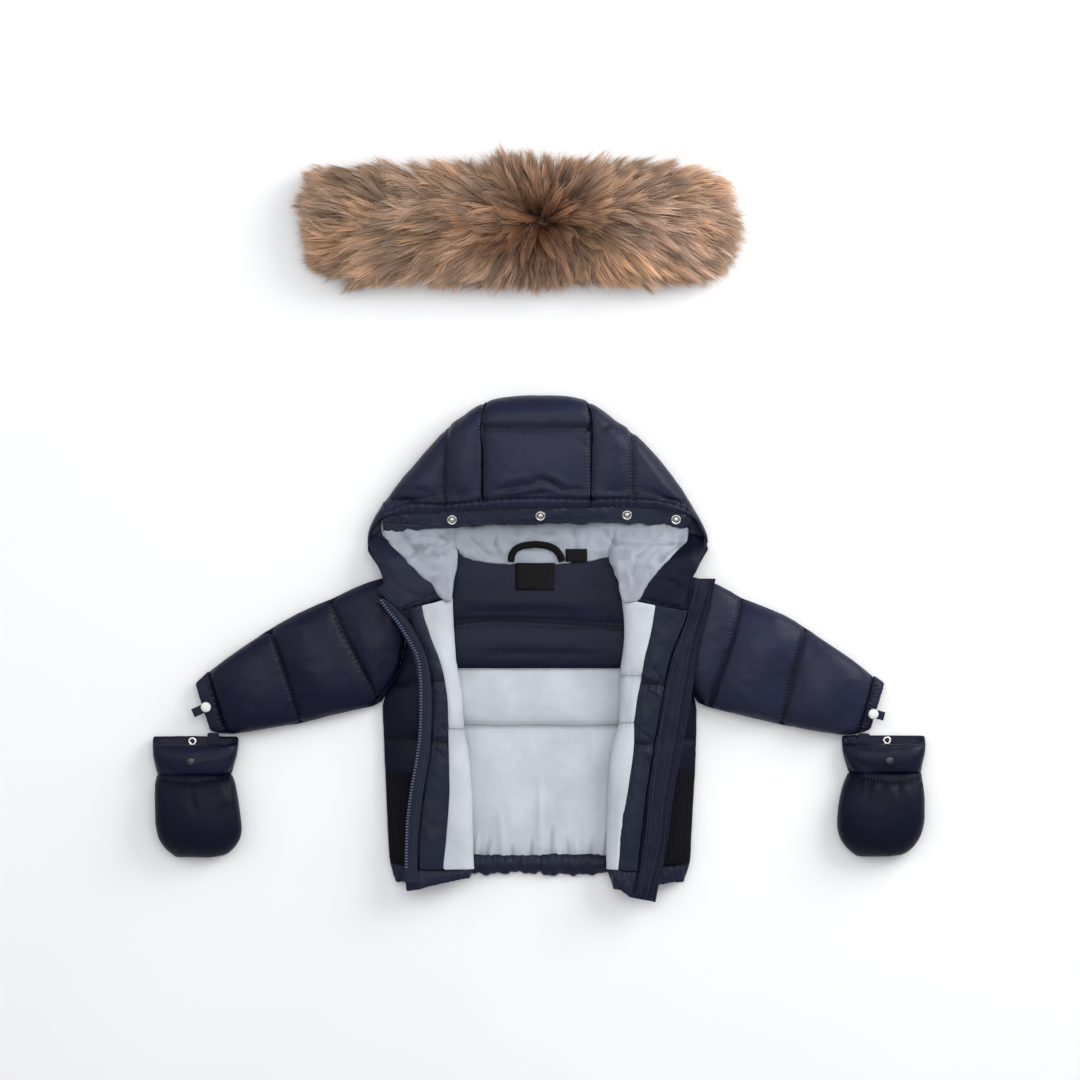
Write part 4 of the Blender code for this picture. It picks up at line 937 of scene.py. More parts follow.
right_join = hood_seam((588, 396), (591, 428), (591, 472), (592, 500), pinch=1.2)
hood_seams = {
    "hood_side_left": [
        hood_seam((447, 425), (443.5, 470), (443.5, 506)),
        hood_seam((485, 396), (481.5, 428), (483, 456), (484, 500), pinch=1.2),
    ],
    "hood_centre": [
        hood_seam((478, 427.5), (537, 428.5), (596, 428)),
        hood_seam((485, 396), (482.5, 428), (483, 456), (484, 500), pinch=1.2),
        right_join,
    ],
    "hood_side_right": [hood_seam((631, 420), (633, 460), (633, 500)), right_join],
}
hood_folds = {
    "hood_side_left": creases((-1.2, 4, (398, 489), (420, 490), (440, 497))),
    "hood_centre": creases(
        (-2.6, 2.6, (498, 490), (518, 487), (534, 484), (541, 479)),
        (-3.0, 3.2, (536, 478), (548, 482), (560, 489)),
        (2.2, 2.8, (528, 490), (545, 488), (556, 492)),
        (1.8, 3.4, (545, 474), (556, 478), (572, 488)),
        (1.5, 2.4, (505, 494), (524, 491), (538, 491)),
        (-1.5, 2.2, (560, 492), (574, 489), (586, 492)),
        (0.9, 3.5, (496, 484), (512, 479), (530, 477)),
        (-1.2, 3.0, (574, 437), (582, 443), (590, 450)),
    ),
    "hood_side_right": creases(
        (-1.2, 3.0, (594, 436), (603, 428), (612, 424)),
        (0.9, 3.5, (596, 452), (605, 446), (614, 444)),
    ),
}
LEFT_BEND = ((81, 94, 103, 120, 133), (0, -1.6, -2.6, 0, 3.4))
RIGHT_BEND = ((50, 103, 118, 133), (0, 1.0, 0, -4.4))
JOINS = ((-61.6, LEFT_BEND), (56.9, RIGHT_BEND))


def to_the_join(middle):
    """Draws a panel's edges up to its neighbour's, along the slightly bent seams of the crown."""

    def change(x, y, z):
        for at, bend in JOINS:
            close = np.exp(-(((x - at) / 20.0) ** 2))
            x = x + close * np.interp(y, *bend) + 1.1 * close * (1 if at > middle else -1)
        return x, y, z

    return change


def slope(x, y, z):
    """The crown falls away straight on both sides, without a shoulder."""
    left = np.exp(-(((x + 83) / 13.0) ** 2))
    right = np.exp(-(((x - 79) / 13.0) ** 2))
    return x, y - 4.0 * (left + 0.8 * right) * step((y - 92) / 25), z


def off_the_table(mm):
    """0 up to 9 mm above the table and 1 from 13 mm on."""
    return step((mm[:, 2] - 9.0) / 4.0)


def roll(panel):
    """Gathers on the roll in front of the channel's stitching."""
    spots, normals = read(panel)
    mm = spots / MM
    _, run, side, _ = beside(mm[:, :2], channel)
    front = step(-side / 3.0) * off_the_table(mm)
    ridges = np.abs(np.sin(math.pi * (run / 8.5 + 0.7 * noise(run, 17.0, 2))))
    rise = front * (1.9 * ridges + 1.3 * noise(run, 26.0, 6) - 0.4)
    spots += normals * (rise * MM)[:, None]
    write(panel, spots)


for node, middle in (("hood_side_left", -100), ("hood_centre", 0), ("hood_side_right", 100)):
    panel = take(node, node + "_panel", 3, edge=0.75)
    nudge(panel, to_the_join(middle))
    nudge(panel, slope)
    lines = hood_seams[node] + [seam(channel, pinch=2.0, wide=2.6, gather=0.6, reach=5, pitch=4.6)]
    drape(panel, lines, hood_folds[node], swell=(0.8, 34.0), where=off_the_table, facing=-0.4, seed=81)
    roll(panel)
    done(panel, NAVY, node)

# %% Hood linings and facings
lining_folds = creases(
    (-2.0, 2.6, (398, 529), (417, 551), (411, 557)),
    (1.4, 3.2, (405, 527), (422, 541), (430, 552)),
    (1.8, 2.8, (419, 537), (437, 541), (456, 546)),
    (-1.9, 2.0, (430, 531), (442, 537), (456, 549)),
    (-0.9, 2.6, (399, 560), (423, 555), (456, 555)),
    (1.0, 3.6, (425, 570), (440, 560), (452, 548)),
    (-1.8, 2.0, (467, 530), (472, 540), (488, 556)),
    (1.5, 2.8, (478, 530), (484, 541), (492, 553)),
    (-2.4, 2.0, (494, 530), (495, 543), (500, 557)),
    (1.7, 2.4, (501, 530), (498, 546), (505, 556)),
    (-0.9, 2.4, (530, 530), (540, 534), (556, 533)),
    (-2.0, 2.0, (573, 530), (576, 546), (574, 556)),
    (2.0, 2.8, (594, 529), (589, 542), (586, 555)),
    (-2.2, 2.2, (604, 529), (609, 538), (616, 546)),
    (1.3, 1.6, (626, 541), (656, 540.5), (686, 541)),
    (-0.9, 1.6, (628, 544), (656, 544), (684, 544)),
    (-1.3, 2.0, (629, 532), (635, 538), (640, 541)),
    (-1.5, 3.4, (653, 545), (636, 558), (630, 580)),
    (1.4, 3.6, (668, 545), (655, 556), (640, 576)),
    (-1.2, 3.0, (680, 545), (668, 553), (657, 566)),
)
for k, node in enumerate(("hood_lining_left", "hood_lining_back", "hood_lining_right")):
    inside = take(node, node + "_cloth", 3, edge=0.7)
    if node == "hood_lining_back":
        nudge(inside, lambda x, y, z: (x * 1.045, y, z))
    else:
        nudge(inside, lambda x, y, z: (x, y - 6.0 * step((-66 - y) / 14), z))
    drape(inside, [], lining_folds, swell=(1.7, 22.0), crumple=(2.0, 13.0), seed=91 + k, lift=1.6)
    # The hood's lining takes the darker pale copy: painted shade.
    done(inside, PALE_SHADED, node)

# %% Facing inside the hood's rim
rim = take("hood_rim_facing", "rim_facing", 3, edge=0.7)


def to_the_rim(x, y, z):
    """The facing's ends reach the hood's sides, and its free edge waves."""
    return x * (1 + 0.055 * step((np.abs(x) - 60) / 90)), y - 1.2 * noise(x, 19.0, 4) * step((10 - y) / 10), z


nudge(rim, to_the_rim)
rim_edge = line((385, 523), (452, 527), (540, 528), (627, 527), (691, 528))
rim_folds = creases(
    (1.4, 2.2, (398, 512), (408, 519), (414, 527)),
    (-1.4, 2.0, (424, 510), (430, 518), (428, 527)),
    (1.5, 2.2, (462, 511), (474, 519), (492, 525)),
    (-1.4, 2.0, (503, 511), (511, 519), (508, 527)),
    (1.5, 2.2, (556, 511), (565, 519), (582, 525)),
    (-1.4, 2.0, (598, 510), (604, 518), (600, 527)),
    (1.3, 2.2, (634, 512), (645, 519), (652, 527)),
)
rim_seam = seam(rim_edge, pinch=0.3, gather=1.7, reach=14, pitch=8)
drape(rim, [rim_seam], rim_folds, swell=(1.5, 12.0), crumple=(2.0, 9.0), facing=-0.5, seed=95)
done(rim, NAVY_RIM, "hood_rim_facing")

# %% Collar facings
collar_folds = {
    "left": creases(
        (0.8, 4, (379, 536), (388, 548), (402, 560)),
        (-0.7, 3, (390, 579), (405, 590), (420, 599)),
    ),
    "right": creases(
        (-1.2, 3, (665, 580), (676, 583), (685, 597)),
        (1.0, 4, (662, 574), (672, 577), (684, 586)),
    ),
}
# The right collar facing takes the much darker navy copy, painted shade; the left keeps the facing navy.
for hand, cloth_finish in (("left", NAVY_INSIDE), ("right", NAVY_DARK_SHADE)):
    collar = take("collar_facing_" + hand, "collar_cloth_" + hand, 2)
    drape(collar, [], collar_folds[hand], swell=(0.5, 20.0), crumple=(0.4, 9.0), seed=97)
    done(collar, cloth_finish, "collar_facing_" + hand)

# %% [markdown]
# ## Flap, tapes and pockets
# The padded flap that covers the zip stands beyond the edge of one front. Two lines of stitching run
# down each of its sides. The pockets are plain black ribbed cloth. Ribs this fine would cost many
# faces, so they are relief in the finish, and only the flap, the tapes and the labels themselves are
# shaped.

# %% Flap
flap_in = line((693, 578), (676, 636), (664, 680), (654, 732), (647, 790), (643, 835), (634, 893))
flap_out = line((713, 588), (698, 636), (688, 689), (680, 739), (669, 801), (665, 842), (652, 898))
flap = take("placket", "wind_flap", 3)


def flap_foot(x, y, z):
    """The flap's bottom corner reaches in over the hem beside it."""
    return x - 4.4 * step((-372 - y) / 30) * step((120 - x) / 14), y, z


nudge(flap, flap_foot)
flap_seams = [seam(edge, pinch=0.9, wide=2.0, gather=0.12, reach=4, pitch=6) for edge in (flap_in, flap_out)]
drape(flap, flap_seams, swell=(0.4, 24.0), seed=101)
done(flap, NAVY_SHADED, "placket")

# %% Zip tapes, pockets, small tapes and labels
LOOP_FATTER = 1.1 * MM
LABEL_RAISED = 2.6
for node, name, levels, finish in (
    ("zip_tape_left", "zip_tape_open", 3, TAPE),
    ("zip_tape_right", "zip_tape_covered", 2, TAPE),
    ("pocket_left", "pocket_rib_left", 2, RIB),
    ("pocket_right", "pocket_rib_right", 2, RIB),
    ("cuff_tab_left", "snap_tab_left", 3, TAPE),
    ("cuff_tab_right", "snap_tab_right", 3, TAPE),
    ("mitten_tether_left", "tether_left", 3, TAPE),
    ("mitten_tether_right", "tether_right", 3, TAPE),
    ("neck_label", "neck_tab", 3, LABEL),
    ("size_label", "side_tab", 3, LABEL),
    ("hang_loop", "neck_loop", 2, WEBBING),
    ("fur_tape", "ruff_tape", 2, TAPE),
):
    piece = take(node, name, levels, edge=1.0 if "label" in node or "tab" in node else 0.45)
    if node == "hang_loop":
        spots, normals = read(piece)
        write(piece, spots + normals * LOOP_FATTER)
    if node == "size_label":
        nudge(piece, lambda x, y, z: (x, y, z + LABEL_RAISED))
    drape(piece, swell=(0.25, 16.0), crumple=(0.1, 7.0), seed=111)
    done(piece, finish, node)

# %% [markdown]
# ## Snaps and caps
# A press stud is turned metal. Stacked cylinders would leave out its rolled rim, so it is drawn as half
# a cross-section and spun round its own axis. Each copy is then set down on the cloth that carries it
# and leaned with the cloth.

# %% Turned parts
def turned(name, profile, finish, sides=28):
    """Spins a half section, given as (radius, height) in millimetres, into a closed round part."""
    mesh = bpy.data.meshes.new(name)
    edges = [(i, i + 1) for i in range(len(profile) - 1)]
    mesh.from_pydata([(r * MM, 0.0, z * MM) for r, z in profile], edges, [])
    part = bpy.data.objects.new(name, mesh)
    bpy.context.scene.collection.objects.link(part)
    pick(part)
    bpy.ops.object.mode_set(mode="EDIT")
    bpy.ops.mesh.select_all(action="SELECT")
    bpy.ops.mesh.spin(steps=sides, angle=TURN, center=(0, 0, 0), axis=(0, 0, 1))
    bpy.ops.mesh.select_all(action="SELECT")
    bpy.ops.mesh.remove_doubles(threshold=0.000004)
    bpy.ops.mesh.normals_make_consistent(inside=False)
    bpy.ops.object.mode_set(mode="OBJECT")
    part.data.shade_smooth()
    part.data.materials.append(finish)
    return part


def set_down(patterns, name, node, lean=0.0, rise=0.0):
    """Copies a turned part, and its dark well if it has one, to a node, leaned towards the hem."""
    low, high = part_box(node)
    turn = Matrix.Rotation(lean, 4, "X")
    middle = (Vector(low) + Vector(high)) / 2
    middle.z = (low[2] + high[2]) / 2 - 0.001 * math.cos(lean) + rise * MM
    for pattern, end in zip(patterns, ("", "_well")):
        copy = pattern.copy()
        copy.data = pattern.data.copy()
        copy.name = name + end
        bpy.context.scene.collection.objects.link(copy)
        copy.data.transform(Matrix.Translation(middle) @ turn)
        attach(copy, "root")
    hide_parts(node)


# %% Studs, sockets and caps, from their half sections
STUD = [(0, 0.0), (5.4, 0.0), (5.6, 0.5), (5.5, 1.0), (5.0, 1.5), (4.4, 1.6), (4.0, 1.3)]
STUD += [(3.6, 0.9), (3.0, 0.8), (2.5, 1.2), (2.2, 2.0), (1.6, 2.3), (0, 2.35)]
SOCKET = [(0, 0.0), (4.7, 0.0), (4.8, 0.5), (4.6, 0.95), (4.0, 1.2)]
SOCKET += [(3.0, 1.2), (2.4, 1.0), (2.1, 0.4), (0, 0.35)]
WHITE = [(0, 0.0), (5.2, 0.0), (5.6, 0.4), (5.6, 1.1), (5.2, 1.9), (4.2, 2.4), (2.4, 2.6), (0, 2.65)]
BUTTON = [(0, 0.0), (4.1, 0.0), (4.4, 0.4), (4.2, 0.9), (3.4, 1.3), (1.8, 1.5), (0, 1.55)]
stud = turned("stud_pattern", STUD, NICKEL)
# The well and the hole are thin dark discs: painted shade in the recesses.
well = turned("well_pattern", [(0, 0.7), (3.7, 0.7), (3.7, 0.95), (0, 0.95)], PAINTED_WELL_SHADE, 20)
socket = turned("socket_pattern", SOCKET, NICKEL)
hole = turned("hole_pattern", [(0, 0.4), (2.0, 0.4), (2.0, 0.6), (0, 0.6)], PAINTED_WELL_SHADE, 20)
white = turned("white_pattern", WHITE, WHITE_CAP)
navy = turned("navy_pattern", BUTTON, NAVY_CAP)
for number, lean, rise in ((1, 0.16, 0.0), (2, 0.18, 0.0), (3, 0.16, 0.0), (4, 0.1, 1.5)):
    set_down([stud, well], f"ruff_stud_{number}", f"hood_snap_{number}", lean, rise)
for hand in ("left", "right"):
    set_down([white], "cuff_cap_" + hand, "cuff_snap_" + hand)
    set_down([socket, hole], "mitten_stud_" + hand, "mitten_socket_" + hand)
    set_down([navy], "mitten_button_" + hand, "mitten_cap_" + hand)
for pattern in (stud, well, socket, hole, white, navy):
    bpy.data.objects.remove(pattern)
print("press studs set")

# %% [markdown]
# ## The zip and the stitching
# Moulded zip teeth are all alike, so one tooth is shaped and copied along the edge of the tape. An
# array on a curve would bury or float some of them, because the cloth isn't flat: here each one is
# dropped onto the cloth below it and turned with it. Stitches are tiny rounded lengths of thread, set
# end to end in the same way.

# %% Finding the cloth below a line
def ground(*pieces):
    """A tree of the pieces' faces, to drop things onto."""
    pile = bmesh.new()
    for piece in pieces:
        pile.from_mesh(piece.data)
    tree = BVHTree.FromBMesh(pile)
    pile.free()
    return tree


def along_line(path, gap):
    """Evenly spaced places on a drawn line, in metres, each with the line's direction there."""
    spots = []
    left = 0.0
    for a, b in zip(path, path[1:]):
        length = float(np.hypot(*(b - a)))
        at = left
        while at < length:
            spot = a + (b - a) * at / length
            spots.append((spot * MM, (b - a) / length))
            at += gap
        left = at - length
    return spots


def repeat(name, pattern, path, gap, tree, finish, lift):
    """Copies one small shape along a line, lying on what is below it, as one mesh."""
    verts, faces = [], []
    shape = [v.co.copy() for v in pattern.data.vertices]
    sides = [tuple(p.vertices) for p in pattern.data.polygons]
    for spot, way in along_line(path, gap):
        hit = tree.ray_cast(Vector((spot[0], spot[1], 0.2)), Vector((0, 0, -1)))
        if hit[0] is None:
            continue
        up = hit[1] if hit[1].z > 0.3 else Vector((0, 0, 1))
        along = Vector((way[0], way[1], 0.0))
        along = (along - up * along.dot(up)).normalized()
        across = up.cross(along)
        place = Matrix((along, across, up)).transposed()
        start = len(verts)
        verts += [place @ v + hit[0] + up * lift for v in shape]
        faces += [tuple(start + i for i in side) for side in sides]
    mesh = bpy.data.meshes.new(name)
    mesh.from_pydata([tuple(v) for v in verts], [], faces)
    row = bpy.data.objects.new(name, mesh)
    bpy.context.scene.collection.objects.link(row)
    mesh.shade_smooth()
    mesh.materials.append(finish)
    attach(row, "root")
    print(name, len(mesh.polygons), "faces")
    return row


def small_block(name, size, rounding):
    """A little rounded block to be repeated."""
    bpy.ops.object.select_all(action="DESELECT")
    bpy.ops.mesh.primitive_cube_add(size=1.0)
    block = bpy.context.object
    block.name = name
    block.scale = [s * MM for s in size]
    bpy.ops.object.transform_apply(location=True, rotation=True, scale=True)
    bpy.ops.object.mode_set(mode="EDIT")
    bpy.ops.mesh.select_all(action="SELECT")
    bpy.ops.mesh.bevel(offset=rounding * MM, segments=1, affect="EDGES")
    bpy.ops.object.mode_set(mode="OBJECT")
    return block


def shifted(path, by):
    """The same line, moved across by so many millimetres."""
    return path + np.array([by, 0.0])


# %% Zip teeth
tooth = small_block("tooth", (1.7, 3.2, 2.0), 0.45)
teeth_line = line(
    (376.5, 593), (386, 608), (397.5, 622), (407, 637), (415.5, 652), (419, 664), (420.5, 682), (420.5, 710),
    (420, 730), (418.5, 744), (415, 767), (411.5, 785), (409, 803), (407, 820), (406.5, 835), (406, 852),
    (406, 866),
)
teeth_line = shifted(teeth_line, 1.0)
tape_tree = ground(bpy.data.objects["zip_tape_open"])
repeat("zip_teeth", tooth, teeth_line, 3.15, tape_tree, TEETH, lift=0.0008)
bpy.data.objects.remove(tooth)

# %% Stitching
stitch = small_block("stitch", (2.3, 0.55, 0.4), 0.12)
UNDER_STITCHES = (
    "wind_flap", "front_facing_left", "front_facing_right",
    "zip_tape_open", "collar_cloth_left", "collar_cloth_right",
)
sewn_cloth = ground(*[piece for piece in bpy.data.objects if piece.name in UNDER_STITCHES])
for name, path in {
    "flap_stitch_1": shifted(flap_in, 3.0),
    "flap_stitch_2": shifted(flap_in, 6.5),
    "flap_stitch_3": shifted(flap_out, -1.5),
    "flap_stitch_4": shifted(flap_out, -7.0),
    "tape_stitch_1": shifted(teeth_line, 8.0),
    "tape_stitch_2": shifted(teeth_line, 12.5),
}.items():
    repeat(name, stitch, path, 3.1, sewn_cloth, THREAD, lift=0.0001)
bpy.data.objects.remove(stitch)

# %% [markdown]
# ## The fur ruff
# The ruff is a strip of long-haired fur. Its hair parts near the middle and is combed away to both
# ends, thicker and darker at the skin and pale at the tips. Hairs gather into locks, so each hair leans
# towards the tip of the lock it belongs to. Hair particles would look alike but are not used here, and a
# tube for every hair would need ten times the faces, so each hair is a narrow tapering ribbon. Under the
# hair lies a low, rounded pelt, as in the solid.

# %% The pelt under the hair
FUR_EDGE = np.array(
    [
        # across, upper edge, lower edge, in millimetres
        (-267, 352, 338), (-257, 386, 287), (-244, 390, 268), (-231, 392, 260), (-210, 388, 252),
        (-186, 399, 256), (-160, 403, 253), (-130, 405, 256), (-100, 400, 257), (-60, 408, 256),
        (-20, 410, 254), (10, 407, 254), (45, 405, 261), (72, 413, 256), (100, 404, 260),
        (128, 404, 252), (156, 402, 261), (178, 400, 258), (191, 398, 268), (204, 380, 274),
        (217, 342, 298), (224, 330, 312),
    ],
    float,
)
FUR_LEFT, FUR_RIGHT = -267, 224
PELT_LEFT, PELT_RIGHT, PELT_LOW, PELT_HIGH, PELT_TALL = -238.0, 197.0, 281.0, 374.0, 26.0


def pelt_height(x, y):
    """Height of the skin under the hair, in millimetres."""
    u = (x - (PELT_LEFT + PELT_RIGHT) / 2) / ((PELT_RIGHT - PELT_LEFT) / 2)
    v = (y - (PELT_LOW + PELT_HIGH) / 2) / ((PELT_HIGH - PELT_LOW) / 2)
    return 2.0 + PELT_TALL * np.sqrt(np.clip(1 - np.abs(u) ** 6, 0, 1)) * np.sqrt(np.clip(1 - v**2, 0, 1))


bpy.ops.object.select_all(action="DESELECT")
bpy.ops.mesh.primitive_grid_add(x_subdivisions=120, y_subdivisions=36, size=2.0)
pelt = bpy.context.object
pelt.name = "fur_pelt"
spots, _ = read(pelt)
across = (PELT_RIGHT - PELT_LEFT) / 2
upward = (PELT_HIGH - PELT_LOW) / 2
pelt_x = spots[:, 0] * across * np.sqrt(1 - spots[:, 1] ** 2 / 14) + (PELT_LEFT + PELT_RIGHT) / 2
pelt_y = spots[:, 1] * upward * np.sqrt(1 - spots[:, 0] ** 8 / 2.2) + (PELT_LOW + PELT_HIGH) / 2
pelt_z = pelt_height(pelt_x, pelt_y) + 1.2 * noise(np.stack([pelt_x, pelt_y, pelt_x * 0], 1), 14.0, 3)
write(pelt, np.stack([pelt_x, pelt_y, pelt_z], 1) * MM)
pick(pelt)
bpy.ops.object.mode_set(mode="EDIT")
bpy.ops.mesh.select_all(action="SELECT")
bpy.ops.mesh.extrude_region_move(TRANSFORM_OT_translate={"value": (0, 0, 0)})
bpy.ops.object.mode_set(mode="OBJECT")
spots, _ = read(pelt)
chosen = np.array([v.select for v in pelt.data.vertices])
spots[chosen, 2] = 0.0012
write(pelt, spots)
pick(pelt)
bpy.ops.object.mode_set(mode="EDIT")
bpy.ops.mesh.select_all(action="SELECT")
bpy.ops.mesh.normals_make_consistent(inside=False)
bpy.ops.object.mode_set(mode="OBJECT")
pelt.data.shade_smooth()
print("pelt:", len(pelt.data.polygons), "faces")

# %% Fur finishes
skin_paint = Paint("fur_skin", 0.95)
tufts = skin_paint.grain(90.0, 4.0).between(0.35, 0.65)
skin_paint.colour(skin_paint.mix(tufts, (0.030, 0.016, 0.010), (0.075, 0.042, 0.028)))
skin_paint.relief(skin_paint.grain(400.0, 3.0) * 0.0015)
pelt.data.materials.append(skin_paint.material)
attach(pelt, "root")
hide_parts("fur_trim")

hair_paint = Paint("fur_hair", 0.55, Specular_IOR_Level=0.10)
hair_paint.colour(hair_paint.note("hair_colour", out="Color"))
hair_paint.rough(0.5 + hair_paint.grain(300.0, 1.0) * 0.2)
print("fur finishes ready")


# %% Combing the hair
COMB = [
    # across and down in pixels, and the way the hair lies there in degrees
    (310, 170, 168), (300, 205, 180), (303, 235, 186), (312, 262, 197), (325, 280, 212),
    (338, 180, 150), (348, 205, 165), (345, 240, 185), (370, 150, 108), (372, 215, 170),
    (385, 262, 222), (400, 185, 148), (410, 245, 205), (425, 212, 172), (445, 170, 132),
    (455, 262, 238), (462, 215, 168), (470, 237, 200), (482, 150, 102), (490, 185, 128),
    (500, 262, 250), (505, 212, 152), (515, 235, 222), (520, 175, 112), (530, 262, 264),
    (540, 150, 92), (545, 195, 92), (560, 262, 282), (560, 240, 290), (565, 205, 48),
    (570, 160, 72), (590, 148, 80), (590, 190, 32), (595, 250, 302), (612, 225, 345),
    (620, 170, 40), (625, 258, 308), (640, 200, 15), (650, 240, 322), (670, 165, 38),
    (680, 205, 5), (690, 240, 325), (715, 170, 30), (722, 205, 355), (722, 245, 325),
    (705, 268, 305),
]
comb_xy = line(*[(u, v) for u, v, _ in COMB])
comb_way = np.radians([angle for _, _, angle in COMB])


def combed(x, y):
    """Direction in which the hair is combed, as an angle, blended between the places noted above."""
    east = np.zeros(len(x))
    north = np.zeros(len(x))
    for (cx, cy), way in zip(comb_xy, comb_way):
        pull = np.exp(-(((x - cx) ** 2 + (y - cy) ** 2) / 24.0**2)) + 1e-5
        east += pull * math.cos(way)
        north += pull * math.sin(way)
    return np.arctan2(north, east)


def inside_ruff(x, y):
    """Whether a place lies within the ruff's outline."""
    high = np.interp(x, FUR_EDGE[:, 0], FUR_EDGE[:, 1])
    low = np.interp(x, FUR_EDGE[:, 0], FUR_EDGE[:, 2])
    return (x > FUR_LEFT) & (x < FUR_RIGHT) & (y < high) & (y > low)


def edge_at(x, y, angle):
    """How far a hair may reach from a place before it passes the ruff's outline."""
    reach = np.full(len(x), 90.0)
    for t in np.arange(90.0, 2.0, -2.5):
        reach = np.where(inside_ruff(x + t * np.cos(angle), y + t * np.sin(angle)), reach, t)
    return reach


WHORL_X, WHORL_Y = 6.0, 321.0


def shadow(x, y):
    """1 in the dark parting of the fur, which runs from the whorl to the left, and 0 away from it."""
    heart = np.exp(-(((x - WHORL_X) / 40.0) ** 2) - (((y - WHORL_Y - 6) / 42.0) ** 2))
    parting = np.exp(-(((y - 322 - 4 * np.sin(x / 17.0)) / 9.0) ** 2))
    parting = parting * step((x + 125) / 50) * step((WHORL_X - x) / 12)
    return np.clip(heart + 0.8 * parting, 0, 1)


# %% Planning the locks
def plan_locks(rng, locks, left, right, long):
    """Where each lock starts, and how it lies and is coloured."""
    x = rng.uniform(left, right, locks)
    y = rng.uniform(PELT_LOW + 1, PELT_HIGH - 1, locks)
    at = np.stack([x, y, x * 0], 1)
    return {
        "x": x,
        "y": y,
        "angle": combed(x, y) + rng.normal(0, 0.17, locks) + 0.30 * noise(at, 30.0, 8),
        "long": rng.uniform(long[0], long[1], locks),
        "rise": rng.uniform(0.1, 0.9, locks),
        "bend": rng.normal(0, 4.5, locks),
        "past": rng.uniform(0.86, 1.12, locks) + 0.16 * (rng.uniform(0, 1, locks) > 0.86),
        "tone": np.clip(0.5 + 0.60 * noise(at, 16.0, 21) + rng.normal(0, 0.36, locks), 0, 1),
        "gold": np.clip(0.38 + 0.75 * noise(at, 22.0, 22) + rng.normal(0, 0.25, locks), 0, 1),
    }


def nearest_lock(lock, x, y):
    """The number of the lock that each hair belongs to."""
    middles = KDTree(len(lock["x"]))
    for i, (a, b) in enumerate(zip(lock["x"], lock["y"])):
        middles.insert((a, b, 0), i)
    middles.balance()
    return np.array([middles.find((a, b, 0))[1] for a, b in zip(x, y)])


# %% Planning the hairs
TOWARDS_TIP = 0.94


def plan_hairs(rng, count, lock, left, right):
    """Root, tip, sag and colour numbers of each hair, in mm; no hair passes far beyond the outline."""
    x = rng.uniform(left, right, count)
    y = rng.uniform(PELT_LOW, PELT_HIGH, count)
    mine = nearest_lock(lock, x, y)
    gather = rng.uniform(0.15, 0.98, count)
    stray = rng.uniform(0, 1, count) > 0.93
    angle = lock["angle"][mine] + rng.normal(0, 0.07, count) + stray * rng.normal(0, 0.35, count)
    length = lock["long"][mine] * rng.uniform(0.70, 1.10, count)
    centre = shadow(x, y)
    length = length * (1 - 0.2 * centre)
    reach = np.maximum(edge_at(x, y, angle) * lock["past"][mine] * rng.uniform(0.92, 1.10, count), 5.0)
    reach = reach + stray * rng.uniform(0, 9, count)
    length = np.minimum(length, reach)
    z = pelt_height(x, y) - 0.5
    tip_x = x + np.cos(angle) * length * TOWARDS_TIP
    tip_y = y + np.sin(angle) * length * TOWARDS_TIP
    heart_x = lock["x"][mine] + np.cos(lock["angle"][mine]) * length * TOWARDS_TIP
    heart_y = lock["y"][mine] + np.sin(lock["angle"][mine]) * length * TOWARDS_TIP
    tip_x += (heart_x - tip_x) * gather * 0.85
    tip_y += (heart_y - tip_y) * gather * 0.85
    drop = np.clip(1 - reach / 60.0, 0, 1)
    tip_z = z * (0.62 - 0.3 * drop) + length * (0.40 * lock["rise"][mine] + 0.10) * (1 - 0.75 * drop) + 4.0
    sag = lock["bend"][mine] * np.clip(length / 40.0, 0, 1) + rng.normal(0, 0.9, count)
    tone = np.clip(0.72 * lock["tone"][mine] + 0.28 * rng.uniform(0, 1, count), 0, 1)
    gold = lock["gold"][mine] * 0.85 + 0.15 * rng.uniform(0, 1, count) - 0.26 * step((x - 70) / 50)
    return {
        "root": (x, y, z),
        "tip": (tip_x, tip_y, np.clip(tip_z, 1.6, 60.0)),
        "angle": angle,
        "sag": sag,
        "arch": 0.22 * length * (1 - 0.4 * drop),
        "centre": centre[:, None],
        "tone": tone[:, None],
        "gold": np.clip(gold, 0, 1)[:, None],
    }


# %% Colouring the hairs
FUR_ROOT = np.array((0.022, 0.010, 0.006))
FUR_GREY = np.array((0.285, 0.180, 0.130))
FUR_TAN = np.array((0.480, 0.275, 0.150))
FUR_PALE = np.array((0.730, 0.535, 0.395))
FUR_BLACK = np.array((0.020, 0.014, 0.012))
WHORL_DARK = np.array((0.70, 0.83, 0.88))


def hair_colour(hair, s, guard):
    """Colour of each hair at a share s of its length: dark at the skin, grey or tan, then pale at the tip."""
    gold, tone = hair["gold"], hair["tone"]
    shine = (0.38 + 1.40 * tone)
    body = (FUR_GREY * (1 - gold) + FUR_TAN * gold) * shine
    body = body * (0.95 + 0.62 * step((hair["root"][0] - 55) / 60))[:, None]
    if guard:
        return body * 0.4 * (1 - s) + FUR_BLACK * s
    end = (FUR_PALE * (1 - 0.6 * gold) + FUR_TAN * 1.3 * 0.6 * gold) * (0.55 + 0.70 * tone)
    if s < 0.5:
        mixed = FUR_ROOT + (body - FUR_ROOT) * step(s / 0.62)
    else:
        mixed = body + (end - body) * step((s - 0.55) / 0.45)
    return mixed * (1 - WHORL_DARK * hair["centre"] * (1 - 0.45 * s))


# %% Growing the hair
STAGES = ((0.0, 1.0), (0.34, 1.1), (0.70, 0.8))
HAIR_FACES = ([0, 1, 3, 2], [2, 3, 5, 4])
HAIR_TIP = [4, 5, 6]


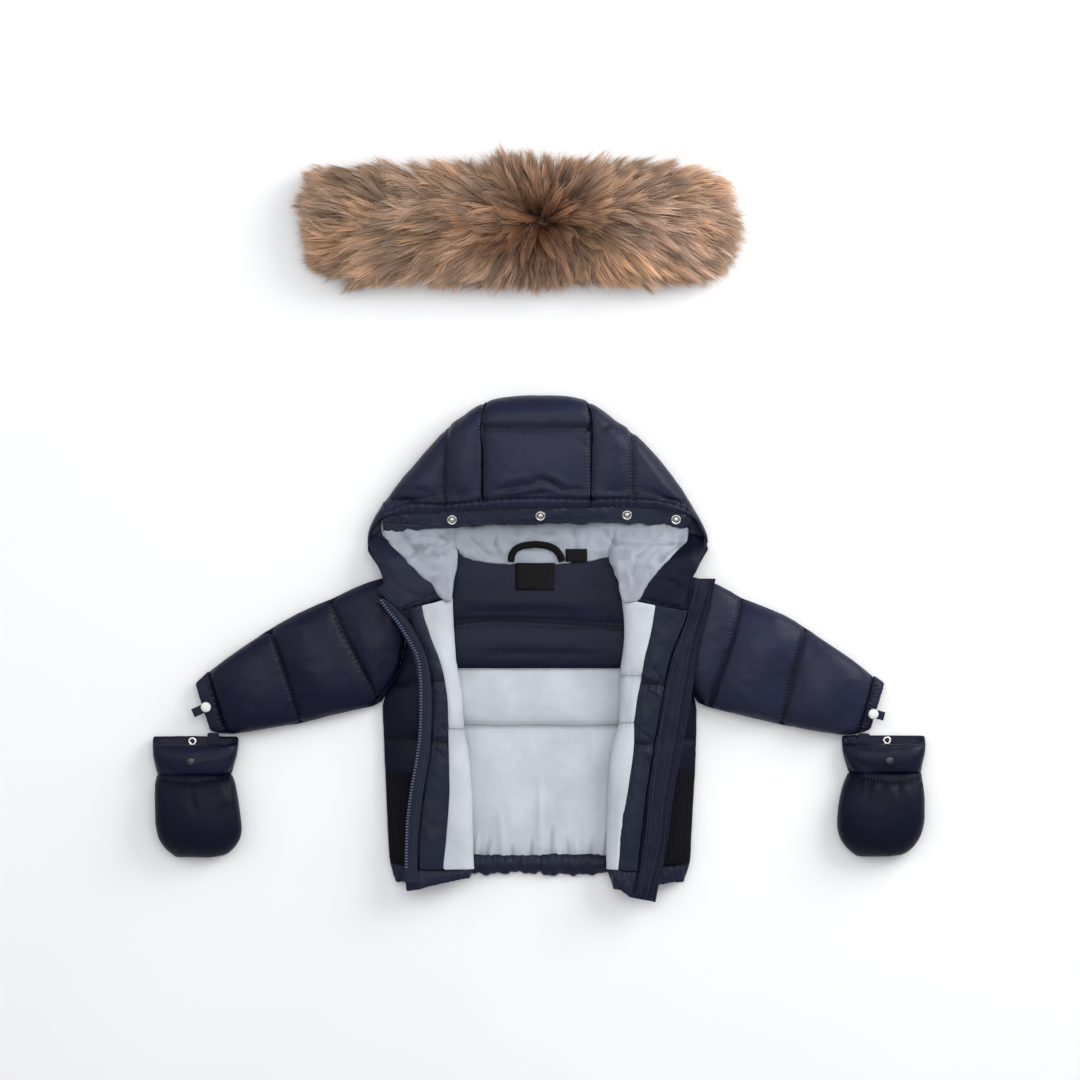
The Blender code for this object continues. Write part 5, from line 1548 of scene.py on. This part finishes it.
def ribbon(rng, hair, s, wide):
    """The two edge points of every hair at a share s of its length."""
    curve = math.sin(math.pi * s)
    x, y, z = [root + (tip - root) * s for root, tip in zip(hair["root"], hair["tip"])]
    x = x - np.sin(hair["angle"]) * hair["sag"] * curve
    y = y + np.cos(hair["angle"]) * hair["sag"] * curve
    z = z + hair["arch"] * curve
    twist = rng.uniform(-0.8, 0.8, len(x))
    side = [-np.sin(hair["angle"]) * np.cos(twist), np.cos(hair["angle"]) * np.cos(twist), np.sin(twist)]
    side = np.stack(side, 1) * wide / 2
    spot = np.stack([x, y, np.clip(z, 1.2, 61.0)], 1)
    return spot, side


def grow(name, count, locks, left, right, seed, long=(36.0, 62.0), width=0.6, guard=False):
    """Hairs as tapering ribbons between two places along the ruff."""
    rng = np.random.default_rng(seed)
    hair = plan_hairs(rng, count, plan_locks(rng, locks, left, right, long), left, right)
    points, colours = [], []
    for s, share in STAGES:
        spot, side = ribbon(rng, hair, s, width * share)
        points += [spot - side, spot + side]
        colours += [hair_colour(hair, s, guard)] * 2
    points.append(ribbon(rng, hair, 1.0, 0.05)[0])
    colours.append(hair_colour(hair, 1.0, guard))
    rows = len(points)
    verts = np.stack(points, 1).reshape(-1, 3) * MM
    tints = np.concatenate([np.stack(colours, 1).reshape(-1, 3), np.ones((count * rows, 1))], 1)
    start = np.arange(count)[:, None] * rows
    quads = np.concatenate([start + np.array([face]) for face in HAIR_FACES])
    tips = start + np.array([HAIR_TIP])
    mesh = bpy.data.meshes.new(name)
    mesh.from_pydata(verts.tolist(), [], quads.tolist() + tips.tolist())
    mesh.shade_smooth()
    tint = mesh.color_attributes.new("hair_colour", "FLOAT_COLOR", "POINT")
    tint.data.foreach_set("color", tints.astype(np.float32).ravel())
    coat = bpy.data.objects.new(name, mesh)
    bpy.context.scene.collection.objects.link(coat)
    mesh.materials.append(hair_paint.material)
    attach(coat, "root")
    print(name, count, "hairs, up to", round(float(verts[:, 1].max()), 3), "m")


grow("fur_left", 36000, 1050, PELT_LEFT, -20.0, 11)
grow("fur_right", 36000, 1000, -20.0, PELT_RIGHT, 12)
grow("fur_fine", 12500, 1600, PELT_LEFT, PELT_RIGHT, 14, long=(44.0, 70.0), width=0.34)
grow("fur_guard_hairs", 700, 500, PELT_LEFT, PELT_RIGHT, 13, long=(44.0, 56.0), width=0.5, guard=True)
